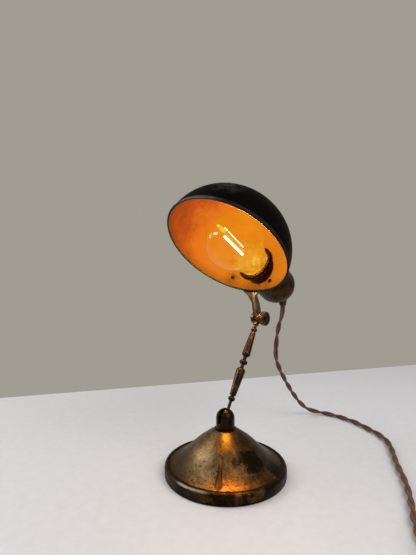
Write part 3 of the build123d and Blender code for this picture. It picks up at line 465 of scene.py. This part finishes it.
def shadePatina():
    # near-black paint, rubbed grey round the crown, mottled behind, with a painted sheen of dull brown low on
    # the right
    f = Finish("shadePatina", Specular_IOR_Level=0.015)
    m = shadeMarks
    large = f.noise(30.0, 5.0, 0.62)
    middle = f.noise(110.0, 5.0, 0.65)
    fine = f.noise(330.0, 4.0, 0.6)
    colour = f.ramp(large, (0.30, (0.0009, 0.0007, 0.0004)), (0.62, (0.0019, 0.0015, 0.0009)),
                    (0.80, (0.0045, 0.0034, 0.0022)))
    paler = f.times(f.near(*m["crown"]), f.ramp(middle, (0.45, 0.0), (0.62, 0.9)))
    colour = f.mix(paler, colour, (0.036, 0.034, 0.029))
    mottled = f.times(f.span(f.axis("Y"), *m["behind"]), f.ramp(large, (0.44, 0.0), (0.62, 0.7)))
    colour = f.mix(mottled, colour, (0.022, 0.017, 0.012))
    # painted sheen: dull brown low on the right, near the lampholder cap
    low = f.times(f.near(*m["sheenLowRight"]), f.ramp(middle, (0.38, 0.1), (0.66, 0.8)))
    colour = f.mix(low, colour, (0.034, 0.022, 0.012))
    rough = f.ramp(fine, (0.30, 0.38), (0.72, 0.60))
    return f.use(Base_Color=colour, Roughness=rough, Normal=f.bump(fine, 0.10, 0.0004))


def rolledEdge():
    # the shade's rim: the same black paint; along the upper front its outer half carries a painted highlight,
    # a grey line like worn metal
    f = Finish("rolledEdge", Specular_IOR_Level=0.12)
    m = shadeMarks
    large = f.noise(60.0, 5.0, 0.62)
    fine = f.noise(330.0, 4.0, 0.6)
    colour = f.ramp(large, (0.32, (0.0020, 0.0015, 0.0010)), (0.66, (0.0080, 0.0064, 0.0048)))
    # painted highlight: a grey line on the rim's outer half along the upper front
    wornAndLit = f.times(f.near(*m["rimFront"]), f.ramp(fine, (0.36, 0.45), (0.56, 1.0)), f.near(*m["rimOutside"]))
    colour = f.mix(wornAndLit, colour, (0.080, 0.073, 0.062))
    rough = f.ramp(fine, (0.30, 0.48), (0.72, 0.66))
    return f.use(Base_Color=colour, Roughness=rough, Normal=f.bump(fine, 0.1, 0.0003))


glowMarks = dict(
    centre=(0.016, 0.046, 0.190), perMetre=8.2, mottleSway=0.034, streakSway=0.014,
    screw=((-0.029, 0.046, 0.191), 0.003, 0.012), collar=((0.004, 0.050, 0.186), 0.006, 0.022),
    shadeAxis=(0.0, 0.656059, 0.754710), rim=(0.1795, 0.1655), rimSway=0.010)


def shadeGlow():
    # the lit inside: from deep red-orange far from the bulb to yellow-orange beside the lampholder
    f = Finish("shadeGlow", Roughness=0.7, Specular_IOR_Level=0.03, Emission_Strength=0.93)
    m = glowMarks
    mottle = f.noise(42.0, 5.0, 0.6)
    streak = f.noise(170.0, 4.0, 0.65)
    reach = f.plus(f.vector("DISTANCE", m["centre"]), f.stray(mottle, m["mottleSway"]))
    reach = f.plus(reach, f.stray(streak, m["streakSway"]))
    colour = f.ramp(f.times(reach, m["perMetre"]),
                    (0.15, (0.690, 0.190, 0.008)), (0.55, (0.770, 0.190, 0.009)),
                    (0.74, (0.780, 0.166, 0.008)), (0.86, (0.520, 0.066, 0.007)),
                    (0.97, (0.260, 0.030, 0.006)))
    # painted shade in the glow: darker brown round the left screw and under the collar
    low = f.most(f.near(*m["screw"]), f.near(*m["collar"]))
    colour = f.mix(f.times(low, f.ramp(streak, (0.40, 0.15), (0.60, 0.75))), colour, (0.110, 0.022, 0.005))
    # the last millimetres before the rim are darker: depth is a dot product with the shade's axis
    deep = f.plus(f.vector("DOT_PRODUCT", m["shadeAxis"]), f.stray(streak, m["rimSway"]))
    colour = f.mix(f.times(f.span(deep, *m["rim"]), 0.45), colour, (0.150, 0.022, 0.005))
    dim = f.mix(mottle, (0.020, 0.005, 0.001), (0.034, 0.009, 0.001))
    return f.use(Base_Color=dim, Emission_Color=colour)


bulbMarks = dict(
    neck=((0.0, 0.0520, 0.2054), 0.0145, 0.031), flare=((0.0096, 0.0405, 0.2038), 0.0145, 0.0035),
    bulbAxis=(0.0, -0.866025, 0.5), tip=(0.1175, 0.1200), bead=(0.1283, 0.1295),
    mirrorShare=0.85, mirrorLeast=0.02)


def amberGlass():
    # thin clear glass: light goes straight through, the outside mirrors at a slant, and lit haze adds
    # a little yellow; towards the neck the haze grows until it hides what lies behind
    f = Finish("amberGlass")
    m = bulbMarks
    haze = f.noise(60.0, 5.0, 0.65)
    neck = f.near(*m["neck"])
    plain = f.ramp(haze, (0.3, (0.93, 0.70, 0.56)), (0.7, (0.96, 0.76, 0.64)))
    clear = f.node("BsdfTransparent", dict(Color=f.mix(neck, plain, (0.04, 0.03, 0.02))))[0]
    mirror = f.node("BsdfGlossy", dict(Roughness=0.05))[0]
    slant = f.math("POWER", f.node("LayerWeight", dict(Blend=0.5))["Facing"], 4.0)
    outside = f.minus(1.0, f.node("NewGeometry", {})["Backfacing"])
    gloss = f.times(f.plus(f.times(slant, m["mirrorShare"]), m["mirrorLeast"]), outside)
    both = f.node("MixShader", {0: gloss, 1: clear, 2: mirror})[0]
    thin = f.ramp(haze, (0.3, (0.046, 0.062, 0.0010)), (0.7, (0.066, 0.086, 0.0020)))
    thick = f.ramp(haze, (0.36, (0.52, 0.160, 0.010)), (0.48, (0.78, 0.300, 0.014)),
                   (0.66, (0.90, 0.440, 0.045)))
    warm = f.node("Emission", dict(Color=f.mix(neck, thin, thick), Strength=1.0))[0]
    total = f.node("AddShader", {0: both, 1: warm})[0]
    f.feed(f.tree.nodes["Material Output"].inputs["Surface"], total)
    f.tree.nodes.remove(f.shader)
    return f.material


def litMount():
    # the glass foot of the bulb, lit by the rods above it
    f = Finish("litMount", Roughness=0.6, Specular_IOR_Level=0.0, Emission_Strength=1.0)
    m = bulbMarks
    cloud = f.noise(150.0, 4.0, 0.6)
    colour = f.ramp(cloud, (0.36, (0.66, 0.29, 0.014)), (0.52, (0.82, 0.48, 0.028)),
                    (0.68, (0.94, 0.70, 0.19)))
    # the flare is brightest on its lower right and fades into the shade's orange round that place
    colour = f.mix(f.times(f.near(*m["flare"]), 0.85), colour, (0.780, 0.280, 0.012))
    # beyond the rods the glass stem is a clear yellow, and pale at its very tip
    along = f.vector("DOT_PRODUCT", m["bulbAxis"])
    yellow = f.ramp(cloud, (0.36, (0.66, 0.42, 0.012)), (0.62, (0.82, 0.68, 0.040)))
    colour = f.mix(f.span(along, *m["tip"]), colour, yellow)
    colour = f.mix(f.times(f.span(along, *m["bead"]), 0.7), colour, (0.95, 0.80, 0.42))
    dim = f.ramp(cloud, (0.36, (0.07, 0.03, 0.006)), (0.62, (0.13, 0.07, 0.012)))
    return f.use(Base_Color=dim, Emission_Color=colour)


def litRod():
    # white-hot rods with a faint grain
    f = Finish("litRod", Roughness=0.6, Specular_IOR_Level=0.0, Emission_Strength=3.4)
    grain = f.noise(900.0, 2.0, 0.5)
    colour = f.ramp(grain, (0.3, (1.0, 0.90, 0.66)), (0.7, (1.0, 0.95, 0.80)))
    return f.use(Base_Color=colour, Emission_Color=colour)


def litWire():
    # thin wires that take the colour of the light round them
    f = Finish("litWire", Roughness=0.6, Specular_IOR_Level=0.0, Emission_Strength=0.9)
    grain = f.noise(300.0, 3.0, 0.5)
    colour = f.ramp(grain, (0.35, (0.60, 0.20, 0.010)), (0.65, (0.74, 0.31, 0.020)))
    dim = f.ramp(grain, (0.35, (0.06, 0.02, 0.004)), (0.65, (0.12, 0.05, 0.010)))
    return f.use(Base_Color=dim, Emission_Color=colour)


def plainMetal(name, dark, light, roughLow, roughHigh, metallic=1.0, shine=0.5):
    # clouds between two tones, with fine grain in the roughness
    f = Finish(name, Metallic=metallic, Specular_IOR_Level=shine)
    large = f.noise(90.0, 5.0, 0.6)
    fine = f.noise(700.0, 3.0, 0.6)
    rough = f.ramp(fine, (0.3, roughLow), (0.7, roughHigh))
    colour = f.ramp(large, (0.35, dark), (0.65, light))
    return f.use(Base_Color=colour, Roughness=rough, Normal=f.bump(fine, 0.06, 0.0002))


def mouldedBrown():
    # swirled dark moulding
    f = Finish("mouldedBrown", Specular_IOR_Level=0.18)
    swirl = f.noise(70.0, 5.0, 0.6, distortion=1.2)
    fine = f.noise(900.0, 3.0, 0.6)
    colour = f.ramp(swirl, (0.35, (0.020, 0.009, 0.006)), (0.65, (0.052, 0.022, 0.013)))
    rough = f.ramp(fine, (0.3, 0.40), (0.7, 0.56))
    return f.use(Base_Color=colour, Roughness=rough, Normal=f.bump(fine, 0.05, 0.0002))


def glazed():
    # cream porcelain, a little wavy under its glaze
    f = Finish("glazed", Roughness=0.18)
    large = f.noise(80.0, 4.0, 0.6)
    colour = f.ramp(large, (0.35, (0.70, 0.66, 0.56)), (0.65, (0.82, 0.79, 0.70)))
    return f.use(Base_Color=colour, Normal=f.bump(large, 0.05, 0.0005))


def felted():
    # dark green fibres
    f = Finish("felted", Roughness=0.95)
    fine = f.noise(1400.0, 4.0, 0.7)
    colour = f.ramp(fine, (0.35, (0.035, 0.055, 0.035)), (0.65, (0.075, 0.110, 0.070)))
    return f.use(Base_Color=colour, Normal=f.bump(fine, 0.5, 0.0005))


braidSize = dict(alongCord=1.0, roundCord=4.0)     # threads for each unit of uv


def braidedCloth():
    # two sets of threads cross at a slant: each is a sine of length plus or minus angle on the strand's uv
    f = Finish("braidedCloth", Roughness=0.85, Sheen_Weight=0.05)
    u = f.times(f.axis("X", "UV"), 2 * math.pi * braidSize["alongCord"])
    v = f.times(f.axis("Y", "UV"), 2 * math.pi * braidSize["roundCord"])
    crossed = f.times(f.math("SINE", f.plus(u, v)), f.math("SINE", f.minus(u, v)))
    weave = f.plus(f.times(crossed, 0.5), 0.5)
    wear = f.noise(45.0, 4.0, 0.6)
    colour = f.mix(weave, (0.038, 0.010, 0.005), (0.160, 0.052, 0.030))
    colour = f.mix(f.ramp(wear, (0.42, 0.0), (0.72, 0.45)), colour, (0.170, 0.070, 0.040))
    return f.use(Base_Color=colour, Normal=f.bump(weave, 0.7, 0.0005))


tieSize = dict(warp=0.0011, weft=0.0014)


def wovenBand():
    # a flat woven tie: warp and weft are sines of the lamp's x and of y plus z, crossed
    f = Finish("wovenBand", Roughness=0.9, Sheen_Weight=0.1)
    warp = f.math("SINE", f.times(f.axis("X"), 2 * math.pi / tieSize["warp"]))
    weft = f.math("SINE", f.times(f.plus(f.axis("Y"), f.axis("Z")), 2 * math.pi / tieSize["weft"]))
    weave = f.plus(f.times(warp, weft, 0.5), 0.5)
    fuzz = f.noise(500.0, 4.0, 0.65)
    colour = f.mix(weave, (0.020, 0.014, 0.010), (0.062, 0.046, 0.034))
    colour = f.mix(f.ramp(fuzz, (0.42, 0.0), (0.66, 0.5)), colour, (0.090, 0.070, 0.054))
    return f.use(Base_Color=colour, Normal=f.bump(weave, 0.6, 0.0004))


bellBrass = agedBase()
patina = shadePatina()
rimFinish = rolledEdge()
glow = shadeGlow()
glass = amberGlass()
rodLight = litRod()
mountLight = litMount()
cloth = braidedCloth()
bronze = darkBronze("darkBronze", (0.008, 0.004, 0.002), (0.032, 0.016, 0.007), (0.080, 0.044, 0.019))
swivelBronze = darkBronze("swivelBronze", (0.0055, 0.0023, 0.0007), (0.016, 0.0075, 0.002),
                          (0.048, 0.025, 0.007))
warmBronze = darkBronze("warmBronze", (0.020, 0.0085, 0.0035), (0.060, 0.029, 0.011), (0.116, 0.062, 0.024))
collarDark = darkBronze("collarDark", (0.006, 0.003, 0.002), (0.022, 0.009, 0.004), (0.070, 0.026, 0.010))
screwDark = plainMetal("screwDark", (0.010, 0.004, 0.002), (0.040, 0.016, 0.006), 0.6, 0.8,
                       metallic=0.0, shine=0.05)
steel = plainMetal("greySteel", (0.30, 0.29, 0.27), (0.55, 0.54, 0.52), 0.28, 0.45)
iron = plainMetal("castIron", (0.05, 0.05, 0.05), (0.12, 0.12, 0.12), 0.6, 0.8)
capDark = plainMetal("capDark", (0.010, 0.0045, 0.0006), (0.064, 0.027, 0.003), 0.36, 0.54)
print("finishes made")

# one finish for each slot of the record, and other ones for single solids
finishOf = dict(
    aged_brass=agedBrass(), dark_brass=capDark, bronze=bronze, dark_shade=patina, cast_weight=iron,
    felt=felted(), steel=steel, porcelain=glazed(), bakelite=mouldedBrown(), amber_glass=glass,
    filament=rodLight, brown_cloth=cloth, tie_cloth=wovenBand())
finishHere = dict(
    thumb_nut=warmBronze, knuckle_fork=warmBronze, pivot_bolt=warmBronze, bracket=bracketBrass(),
    bulb_mount=mountLight, bulb_wires=litWire(), swivel_cap=swivelBronze, socket_stud=swivelBronze,
    ball_cup=iron, lampholder_body=collarDark, shade_ring=collarDark, bracket_screws=screwDark)
for part in frame["record"]["subparts"]:
    solid = nodes[part["node"]]
    solid.data.materials.clear()
    solid.data.materials.append(finishHere.get(part["node"], finishOf[part["material_slot"]]))
print("solids finished")


# cord: route points as in the solid's source, one smooth line, two strands wound round it
cordSize = dict(across=0.0058, pitch=0.040, sides=12, step=0.0011, smooth=24, braid=0.0016, strandFit=0.99,
                steady=(0.10, -0.22, 0.97), blendInset=0.06, floorCut=(28.0, 210.39, 3.0))
routeDrop = [
    (0.0, 105.39, 158.14), (0.0, 105.39, 148.14), (-6.4, 106.19, 133.16), (-10.4, 107.69, 114.7),
    (-14.5, 111.69, 92.2), (-19.0, 135.29, 65.52), (-19.5, 168.29, 29.84), (-16.0, 191.29, 9.52),
    (-5.0, 207.29, 3.62), (14.0, 212.29, 3.0)]
routeRun = [
    (42.0, 208.5, 3.0), (62.0, 198.5, 3.0), (82.0, 188.0, 3.0), (97.0, 174.0, 3.0), (109.0, 151.0, 3.0),
    (119.0, 128.0, 3.0), (139.0, 92.0, 3.0), (154.0, 54.0, 3.0), (163.0, 28.0, 3.0), (174.0, 9.0, 3.0),
    (183.2, -7.2, 4.2), (198.2, -13.2, 4.2)]
routeTail = [
    (223.8, -17.0, 11.2), (237.8, -17.0, 11.2), (252.8, -13.0, 9.94), (266.8, -4.0, 8.26), (275.8, 9.0, 7.0),
    (275.8, 23.0, 7.0)]
coilSize = dict(centre=(218.0, 27.0, 4.2), first=40.2, pitch=7.6, layer=7.0, halfIn=5, halfOut=6, perHalf=8)


def coilPoints():
    # half turns: the radius falls by half a pitch in each one, the line climbs a layer over the next one,
    # and the radius then grows again
    c = coilSize
    half = np.arange(0, (c["halfIn"] + 1 + c["halfOut"]) * c["perHalf"] + 1) / c["perHalf"]
    inward = c["first"] - c["pitch"] / 2 * np.minimum(half, c["halfIn"])
    radius = inward + c["pitch"] / 2 * np.maximum(half - c["halfIn"] - 1, 0)
    climb = np.clip(half - c["halfIn"], 0, 1)
    angle = math.pi * half - math.pi / 2
    x, y, z = c["centre"]
    return np.stack((x + radius * np.cos(angle), y + radius * np.sin(angle), z + c["layer"] * climb), -1)


def smoothLine(points):
    # the route's points are the control points of one NURBS line; its own points are read back
    curve = bpy.data.curves.new("routeLine", "CURVE")
    curve.dimensions = "3D"
    line = curve.splines.new("NURBS")
    line.points.add(len(points) - 1)
    line.points.foreach_set("co", np.concatenate((points, np.ones((len(points), 1))), 1).reshape(-1))
    line.order_u = 3
    line.use_endpoint_u = True
    line.resolution_u = cordSize["smooth"]
    holder = bpy.data.objects.new("routeLine", curve)
    mesh = bpy.data.meshes.new_from_object(holder)
    read = np.zeros(len(mesh.vertices) * 3)
    mesh.vertices.foreach_get("co", read)
    bpy.data.meshes.remove(mesh)
    bpy.data.objects.remove(holder)
    bpy.data.curves.remove(curve)
    return read.reshape(-1, 3)


def evenly(path, step):
    # the same line with its points a steady step apart
    along = alongPath(path)
    wanted = np.linspace(0, along[-1], int(round(along[-1] / step)) + 1)
    return np.stack([np.interp(wanted, along, path[:, k]) for k in range(3)], -1)


def twisted(name, path, start, material):
    # two round strands on opposite sides of the path, turning once per pitch
    tangent = unit(np.gradient(path, axis=0))
    level = unit(np.cross(tangent, cordSize["steady"]))
    up = np.cross(level, tangent)
    strand = cordSize["across"] / 4
    angle = 2 * math.pi * (alongPath(path) + start) / cordSize["pitch"]
    strands = []
    for k in range(2):
        turned = (angle + math.pi * k)[:, None]
        way = path + strand * (np.cos(turned) * level + np.sin(turned) * up)
        strands.append(sweepTube(f"{name}{k}", way, strand * cordSize["strandFit"], cordSize["sides"],
                                 material, cordSize["braid"]))
    return joined(name, *strands)


route = np.concatenate((routeDrop, routeRun, coilPoints(), routeTail)) * mm
wholeLine = evenly(smoothLine(route), cordSize["step"])
alongLine = alongPath(wholeLine)


def nearest(point):
    # the index of the line's point that is closest to a route point
    return int(np.argmin(np.linalg.norm(wholeLine - np.array(point) * mm, axis=1)))


cutLow = nearest(routeDrop[4])
cutMid = nearest(routeDrop[5])
cutFloor = nearest(cordSize["floorCut"])
stretches = [
    ("cordUpper", 0, cutLow, "head", "stem", "object"),
    ("cordMiddle", cutLow, cutMid, "stem", "swivel", "object"),
    ("cordLower", cutMid, cutFloor, "swivel", "base", "object"),
    ("cordTable", cutFloor, len(wholeLine) - 1, "base", None, "plug")]
for name, first, last, upper, lower, farEnd in stretches:
    path = wholeLine[first:last + 1]
    piece = twisted(name, path, alongLine[first], cloth)
    if lower:
        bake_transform(piece)
    else:
        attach(piece, upper)
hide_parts("cord_drop")
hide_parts("cord_run", "cord_coil", "cord_tail")
print("cord laid, %.3f m" % alongLine[-1])

# base bell: rounded lip, groove, ogee up to the flat under the swivel, and back down inside
bellSize = dict(
    segments=200, sharp=50, lipSteps=5, sideSteps=6,
    lip=[(58.9, 0.4), (59.5, 0.9), (59.6, 4.0), (59.6, 7.0), (59.35, 8.7), (58.6, 9.9), (57.4, 10.6),
         (56.2, 10.7), (55.5, 10.3)],
    side=[(55.1, 10.35), (53.4, 10.75), (50.0, 12.2), (45.0, 15.4), (40.0, 19.6), (35.0, 24.2), (30.0, 28.9),
          (25.0, 33.0), (20.0, 36.6), (15.6, 39.6), (12.6, 41.5)],
    top=[(11.4, 42.3), (10.6, 42.4), (5.1, 42.4)],
    inside=[(5.1, 41.2), (11.0, 41.2), (18.8, 36.4), (29.0, 28.4), (38.8, 19.0), (46.5, 13.2), (54.0, 9.4),
            (58.3, 6.4), (58.3, 0.4)])
bellLip = throughPoints(bellSize["lip"], bellSize["lipSteps"])
bellSide = throughPoints(bellSize["side"], bellSize["sideSteps"])
bellProfile = np.concatenate((bellLip, bellSide, bellSize["top"], bellSize["inside"])) * mm
baseBell = lathe("baseBell", bellProfile, axisFrame((0, 0, 0), (0, 0, 1)), bellBrass, bellSize["segments"],
                 sharp=bellSize["sharp"], loop=True)
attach(baseBell, "base")
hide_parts("base_shell")
print("base bell made")

# shade: half ellipse outside and inside, a bead rolled round the rim, a hole for the lampholder
shadeSize = dict(radius=65.0, depth=61.49, wall=0.9, bead=1.1, segments=256, steps=72, hidden=2,
                 beadFrom=150, beadTo=425, beadSteps=22, hole=17.0, holeReach=30.0)
shadePlace = axisFrame((0, -0.000053, 0.219328), (0, 0.656059, 0.754710))
holderPlace = axisFrame((0, 0.0613744, 0.199986), (0, 0.866025, -0.5))


def outsideHole(middles):
    # quads nearer to the lampholder's axis than the hole's radius are left out
    x, y, z = ((middles - holderPlace[0]) @ holderPlace[1].T).T
    return ~((np.hypot(x, y) < shadeSize["hole"] * mm) & (np.abs(z) < shadeSize["holeReach"] * mm))


def quarterEllipse(inset):
    # radius times cosine and depth times sine, both less an inset; the first steps are left to the bead
    rise = np.linspace(0, math.pi / 2, shadeSize["steps"])
    points = ((shadeSize["radius"] - inset) * np.cos(rise), (shadeSize["depth"] - inset) * np.sin(rise))
    return np.stack(points, -1)[shadeSize["hidden"]:]


# the bead is an open circle from the inside, round under the rim, to the outside
beadTurn = np.linspace(math.radians(shadeSize["beadFrom"]), math.radians(shadeSize["beadTo"]),
                       shadeSize["beadSteps"])
beadRing = shadeSize["radius"] - shadeSize["wall"] / 2
bead = np.stack((beadRing + shadeSize["bead"] * np.cos(beadTurn), shadeSize["bead"] * np.sin(beadTurn)), -1)
outer = quarterEllipse(0.0)
inner = quarterEllipse(shadeSize["wall"])[::-1]
rimBead = lathe("rimBead", np.concatenate((bead, outer[:1])) * mm, shadePlace, rimFinish,
                shadeSize["segments"])
outerSide = lathe("outerSide", outer * mm, shadePlace, patina, shadeSize["segments"], keep=outsideHole)
innerSide = lathe("innerSide", np.concatenate((inner, bead[:1])) * mm, shadePlace, glow,
                  shadeSize["segments"], keep=outsideHole)
shadePiece = joined("shadeDome", rimBead, outerSide, innerSide)
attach(shadePiece, "head")
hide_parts("shade")
print("shade made")

# bulb: a globe up to its shoulder, a smooth curve to the throat, then the neck
bulbSize = dict(radius=30.0, place=-55.3, shoulder=26.0, throat=(16.0, -17.0), throatWay=(-0.26, 0.97),
                bend=(14.5, -11.5), neck=13.6, end=-6.0, segments=128, sharp=80,
                globeSteps=60, curveSteps=28, neckSteps=6)
shoulder = math.radians(bulbSize["shoulder"])
globeTurn = np.linspace(-math.pi / 2, shoulder, bulbSize["globeSteps"])
globe = np.stack((np.cos(globeTurn), np.sin(globeTurn)), -1) * bulbSize["radius"] + (0.0, bulbSize["place"])
globe[0, 0] = 0.0
throat = np.array(bulbSize["throat"])
neckEnd = np.array((bulbSize["neck"], bulbSize["end"]))
chord = np.linalg.norm(throat - globe[-1])
shoulderWay = np.array((-math.sin(shoulder), math.cos(shoulder)))
# the curve is a cubic in t that has a given place and slope at both ends
t = np.linspace(0, 1, bulbSize["curveSteps"])[1:, None]
curve = ((2 * t ** 3 - 3 * t ** 2 + 1) * globe[-1] + (3 * t ** 2 - 2 * t ** 3) * throat
         + (t ** 3 - 2 * t ** 2 + t) * chord * shoulderWay
         + (t ** 3 - t ** 2) * chord * np.array(bulbSize["throatWay"]))
neck = throughPoints((throat, bulbSize["bend"], neckEnd), bulbSize["neckSteps"])[1:]
bulbSide = lathe("bulbSide", np.concatenate((globe, curve, neck)) * mm, holderPlace, glass,
                 bulbSize["segments"], sharp=bulbSize["sharp"])
foot = np.array((neckEnd, (bulbSize["neck"] / 2, bulbSize["end"]), (0.0, bulbSize["end"]))) * mm
bulbFoot = lathe("bulbFoot", foot, holderPlace, mountLight, bulbSize["segments"], sharp=bulbSize["sharp"])
bulbPiece = joined("bulbGlass", bulbSide, bulbFoot)

# lit rods: long capsules, one thick and one thin, between the two wire rings
rodSize = dict(segments=20, capSteps=8, rods=[
    (1.25, (1.545, 26.26, 214.77), (1.669, -4.24, 231.94)),
    (0.36, (-1.545, 31.01, 223.0), (-1.669, 0.89, 240.83))])
rods = []
for across, low, high in rodSize["rods"]:
    way = np.array(high) - np.array(low)
    cap = np.linspace(0, math.pi / 2, rodSize["capSteps"])
    lowCap = np.stack((across * np.sin(cap), across * (1 - np.cos(cap))), -1)
    highCap = np.stack((across * np.cos(cap), np.linalg.norm(way) - across * (1 - np.sin(cap))), -1)
    rodPlace = axisFrame(np.array(low) * mm, way)
    rods.append(lathe("rod", np.concatenate((lowCap, highCap)) * mm, rodPlace, rodLight,
                      rodSize["segments"]))
rodPiece = joined("litRods", *rods)

# the bulb's glass mount: a small bead, a stem between the rods and a flare that fills the neck
stemSize = dict(waist=0.9, bead=1.5, middle=-83.0, segments=48, beadSteps=16, flareSteps=6,
                flare=[(2.0, -81.0), (2.0, -60.0), (2.0, -38.0), (2.7, -34.0), (5.6, -31.0), (8.8, -27.0),
                       (11.4, -21.5), (13.1, -15.5), (14.1, -10.5)], back=[(14.1, -9.5), (0.0, -9.5)])
tipTurn = np.linspace(-math.pi / 2, math.acos(stemSize["waist"] / stemSize["bead"]), stemSize["beadSteps"])
stemBead = np.stack((np.cos(tipTurn), np.sin(tipTurn)), -1) * stemSize["bead"] + (0.0, stemSize["middle"])
stemBead[0, 0] = 0.0
stemFlare = throughPoints(stemSize["flare"], stemSize["flareSteps"])
mountProfile = np.concatenate((stemBead, stemFlare, stemSize["back"])) * mm
mountPiece = lathe("bulbMount", mountProfile, holderPlace, mountLight, stemSize["segments"])
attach(mountPiece, "head")
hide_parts("bulb_mount")
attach(rodPiece, "head")
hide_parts("bulb_filaments")
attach(bulbPiece, "head")
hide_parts("bulb_glass")
print("bulb made")

# floor: a flat grid along the camera's way, its far edge at a slant like the table's in the photograph
stageSize = dict(half=1.60, near=-1.60, far=0.330, lean=0.293, points=9, drop=0.0002)


def paleFloor():
    # pale paint with a faint grain
    f = Finish("paleFloor", Roughness=0.7)
    grain = f.noise(120.0, 4.0, 0.6)
    return f.use(Base_Color=f.ramp(grain, (0.3, (0.615, 0.600, 0.585)), (0.7, (0.655, 0.640, 0.625))))


away = np.array(cameraPlace["way"])
right = np.array((away[1], -away[0], 0.0))
sideways = np.linspace(-1, 1, stageSize["points"])[:, None] * stageSize["half"]
share = np.linspace(0, 1, stageSize["points"])[None, :]
ahead = stageSize["near"] + share * (stageSize["far"] + stageSize["lean"] * sideways - stageSize["near"])
floorGrid = right * sideways[..., None] + away * ahead[..., None] - np.array((0, 0, stageSize["drop"]))
floor = surface("floor", floorGrid, paleFloor())
print("floor laid")

# the world lights softly, and what the camera, metal and glass see of it is a plain warm grey
studio = dict(light=(0.90, 0.93, 1.0, 1.0), strength=0.50, wall=(0.355, 0.335, 0.290, 1.0))
world = bpy.data.worlds.new("studio")
world.use_nodes = True
scene.world = world
worldNodes = world.node_tree.nodes
worldLink = world.node_tree.links.new
background = worldNodes["Background"]
background.inputs["Color"].default_value = studio["light"]
background.inputs["Strength"].default_value = studio["strength"]
wall = worldNodes.new("ShaderNodeBackground")
wall.inputs["Color"].default_value = studio["wall"]
rays = worldNodes.new("ShaderNodeLightPath").outputs
seen = rays["Is Camera Ray"]
for kind in ("Is Glossy Ray", "Is Transmission Ray"):
    either = worldNodes.new("ShaderNodeMath")
    either.operation = "MAXIMUM"
    worldLink(seen, either.inputs[0])
    worldLink(rays[kind], either.inputs[1])
    seen = either.outputs[0]
choose = worldNodes.new("ShaderNodeMixShader")
for socket, source in zip(choose.inputs, (seen, background.outputs[0], wall.outputs[0])):
    worldLink(source, socket)
worldLink(choose.outputs[0], worldNodes["World Output"].inputs["Surface"])

# lamps: name, place, aim, size, power, colour
lampTable = [
    ("window", (-0.60, -0.46, 0.86), (0, 0, 0.12), (0.80, 0.80), 4.8, (1.0, 0.98, 0.95)),
    ("paneLeft", (-0.84, -0.40, 0.54), (0, 0, 0.22), (0.12, 0.32), 3.2, (1.0, 0.97, 0.98)),
    ("paneRight", (-0.57, -0.70, 0.60), (0, 0, 0.22), (0.30, 0.14), 2.8, (1.0, 0.97, 0.98)),
    ("fill", (0.9, -0.1, 0.8), (0, 0, 0.12), (0.9, 0.9), 10.0, (1.0, 0.975, 0.97))]
for name, place, aim, size, power, colour in lampTable:
    light = bpy.data.lights.new(name, "AREA")
    light.shape = "RECTANGLE"
    light.size, light.size_y = size
    light.energy = power
    light.color = colour
    lamp = shown(name, light)
    lamp.location = place
    lamp.rotation_euler = facing(Vector(aim) - Vector(place))
    lamp.visible_diffuse = not name.startswith("pane")     # the panes only show as reflections

# the bulb's own light, seen as warm glints on the metal below it; it moves with the rods
bulbLight = dict(place=(0.0, 0.0135, 0.2276), radius=0.012, power=4.2, colour=(1.0, 0.66, 0.11))
glint = bpy.data.lights.new("bulbLight", "POINT")
glint.energy = bulbLight["power"]
glint.color = bulbLight["colour"]
glint.shadow_soft_size = bulbLight["radius"]
glintLamp = shown("bulbLight", glint)
glintLamp.location = bulbLight["place"]
glintLamp.visible_diffuse = False
glintLamp.visible_camera = False
glintLamp.parent = rodPiece
print("lights set")
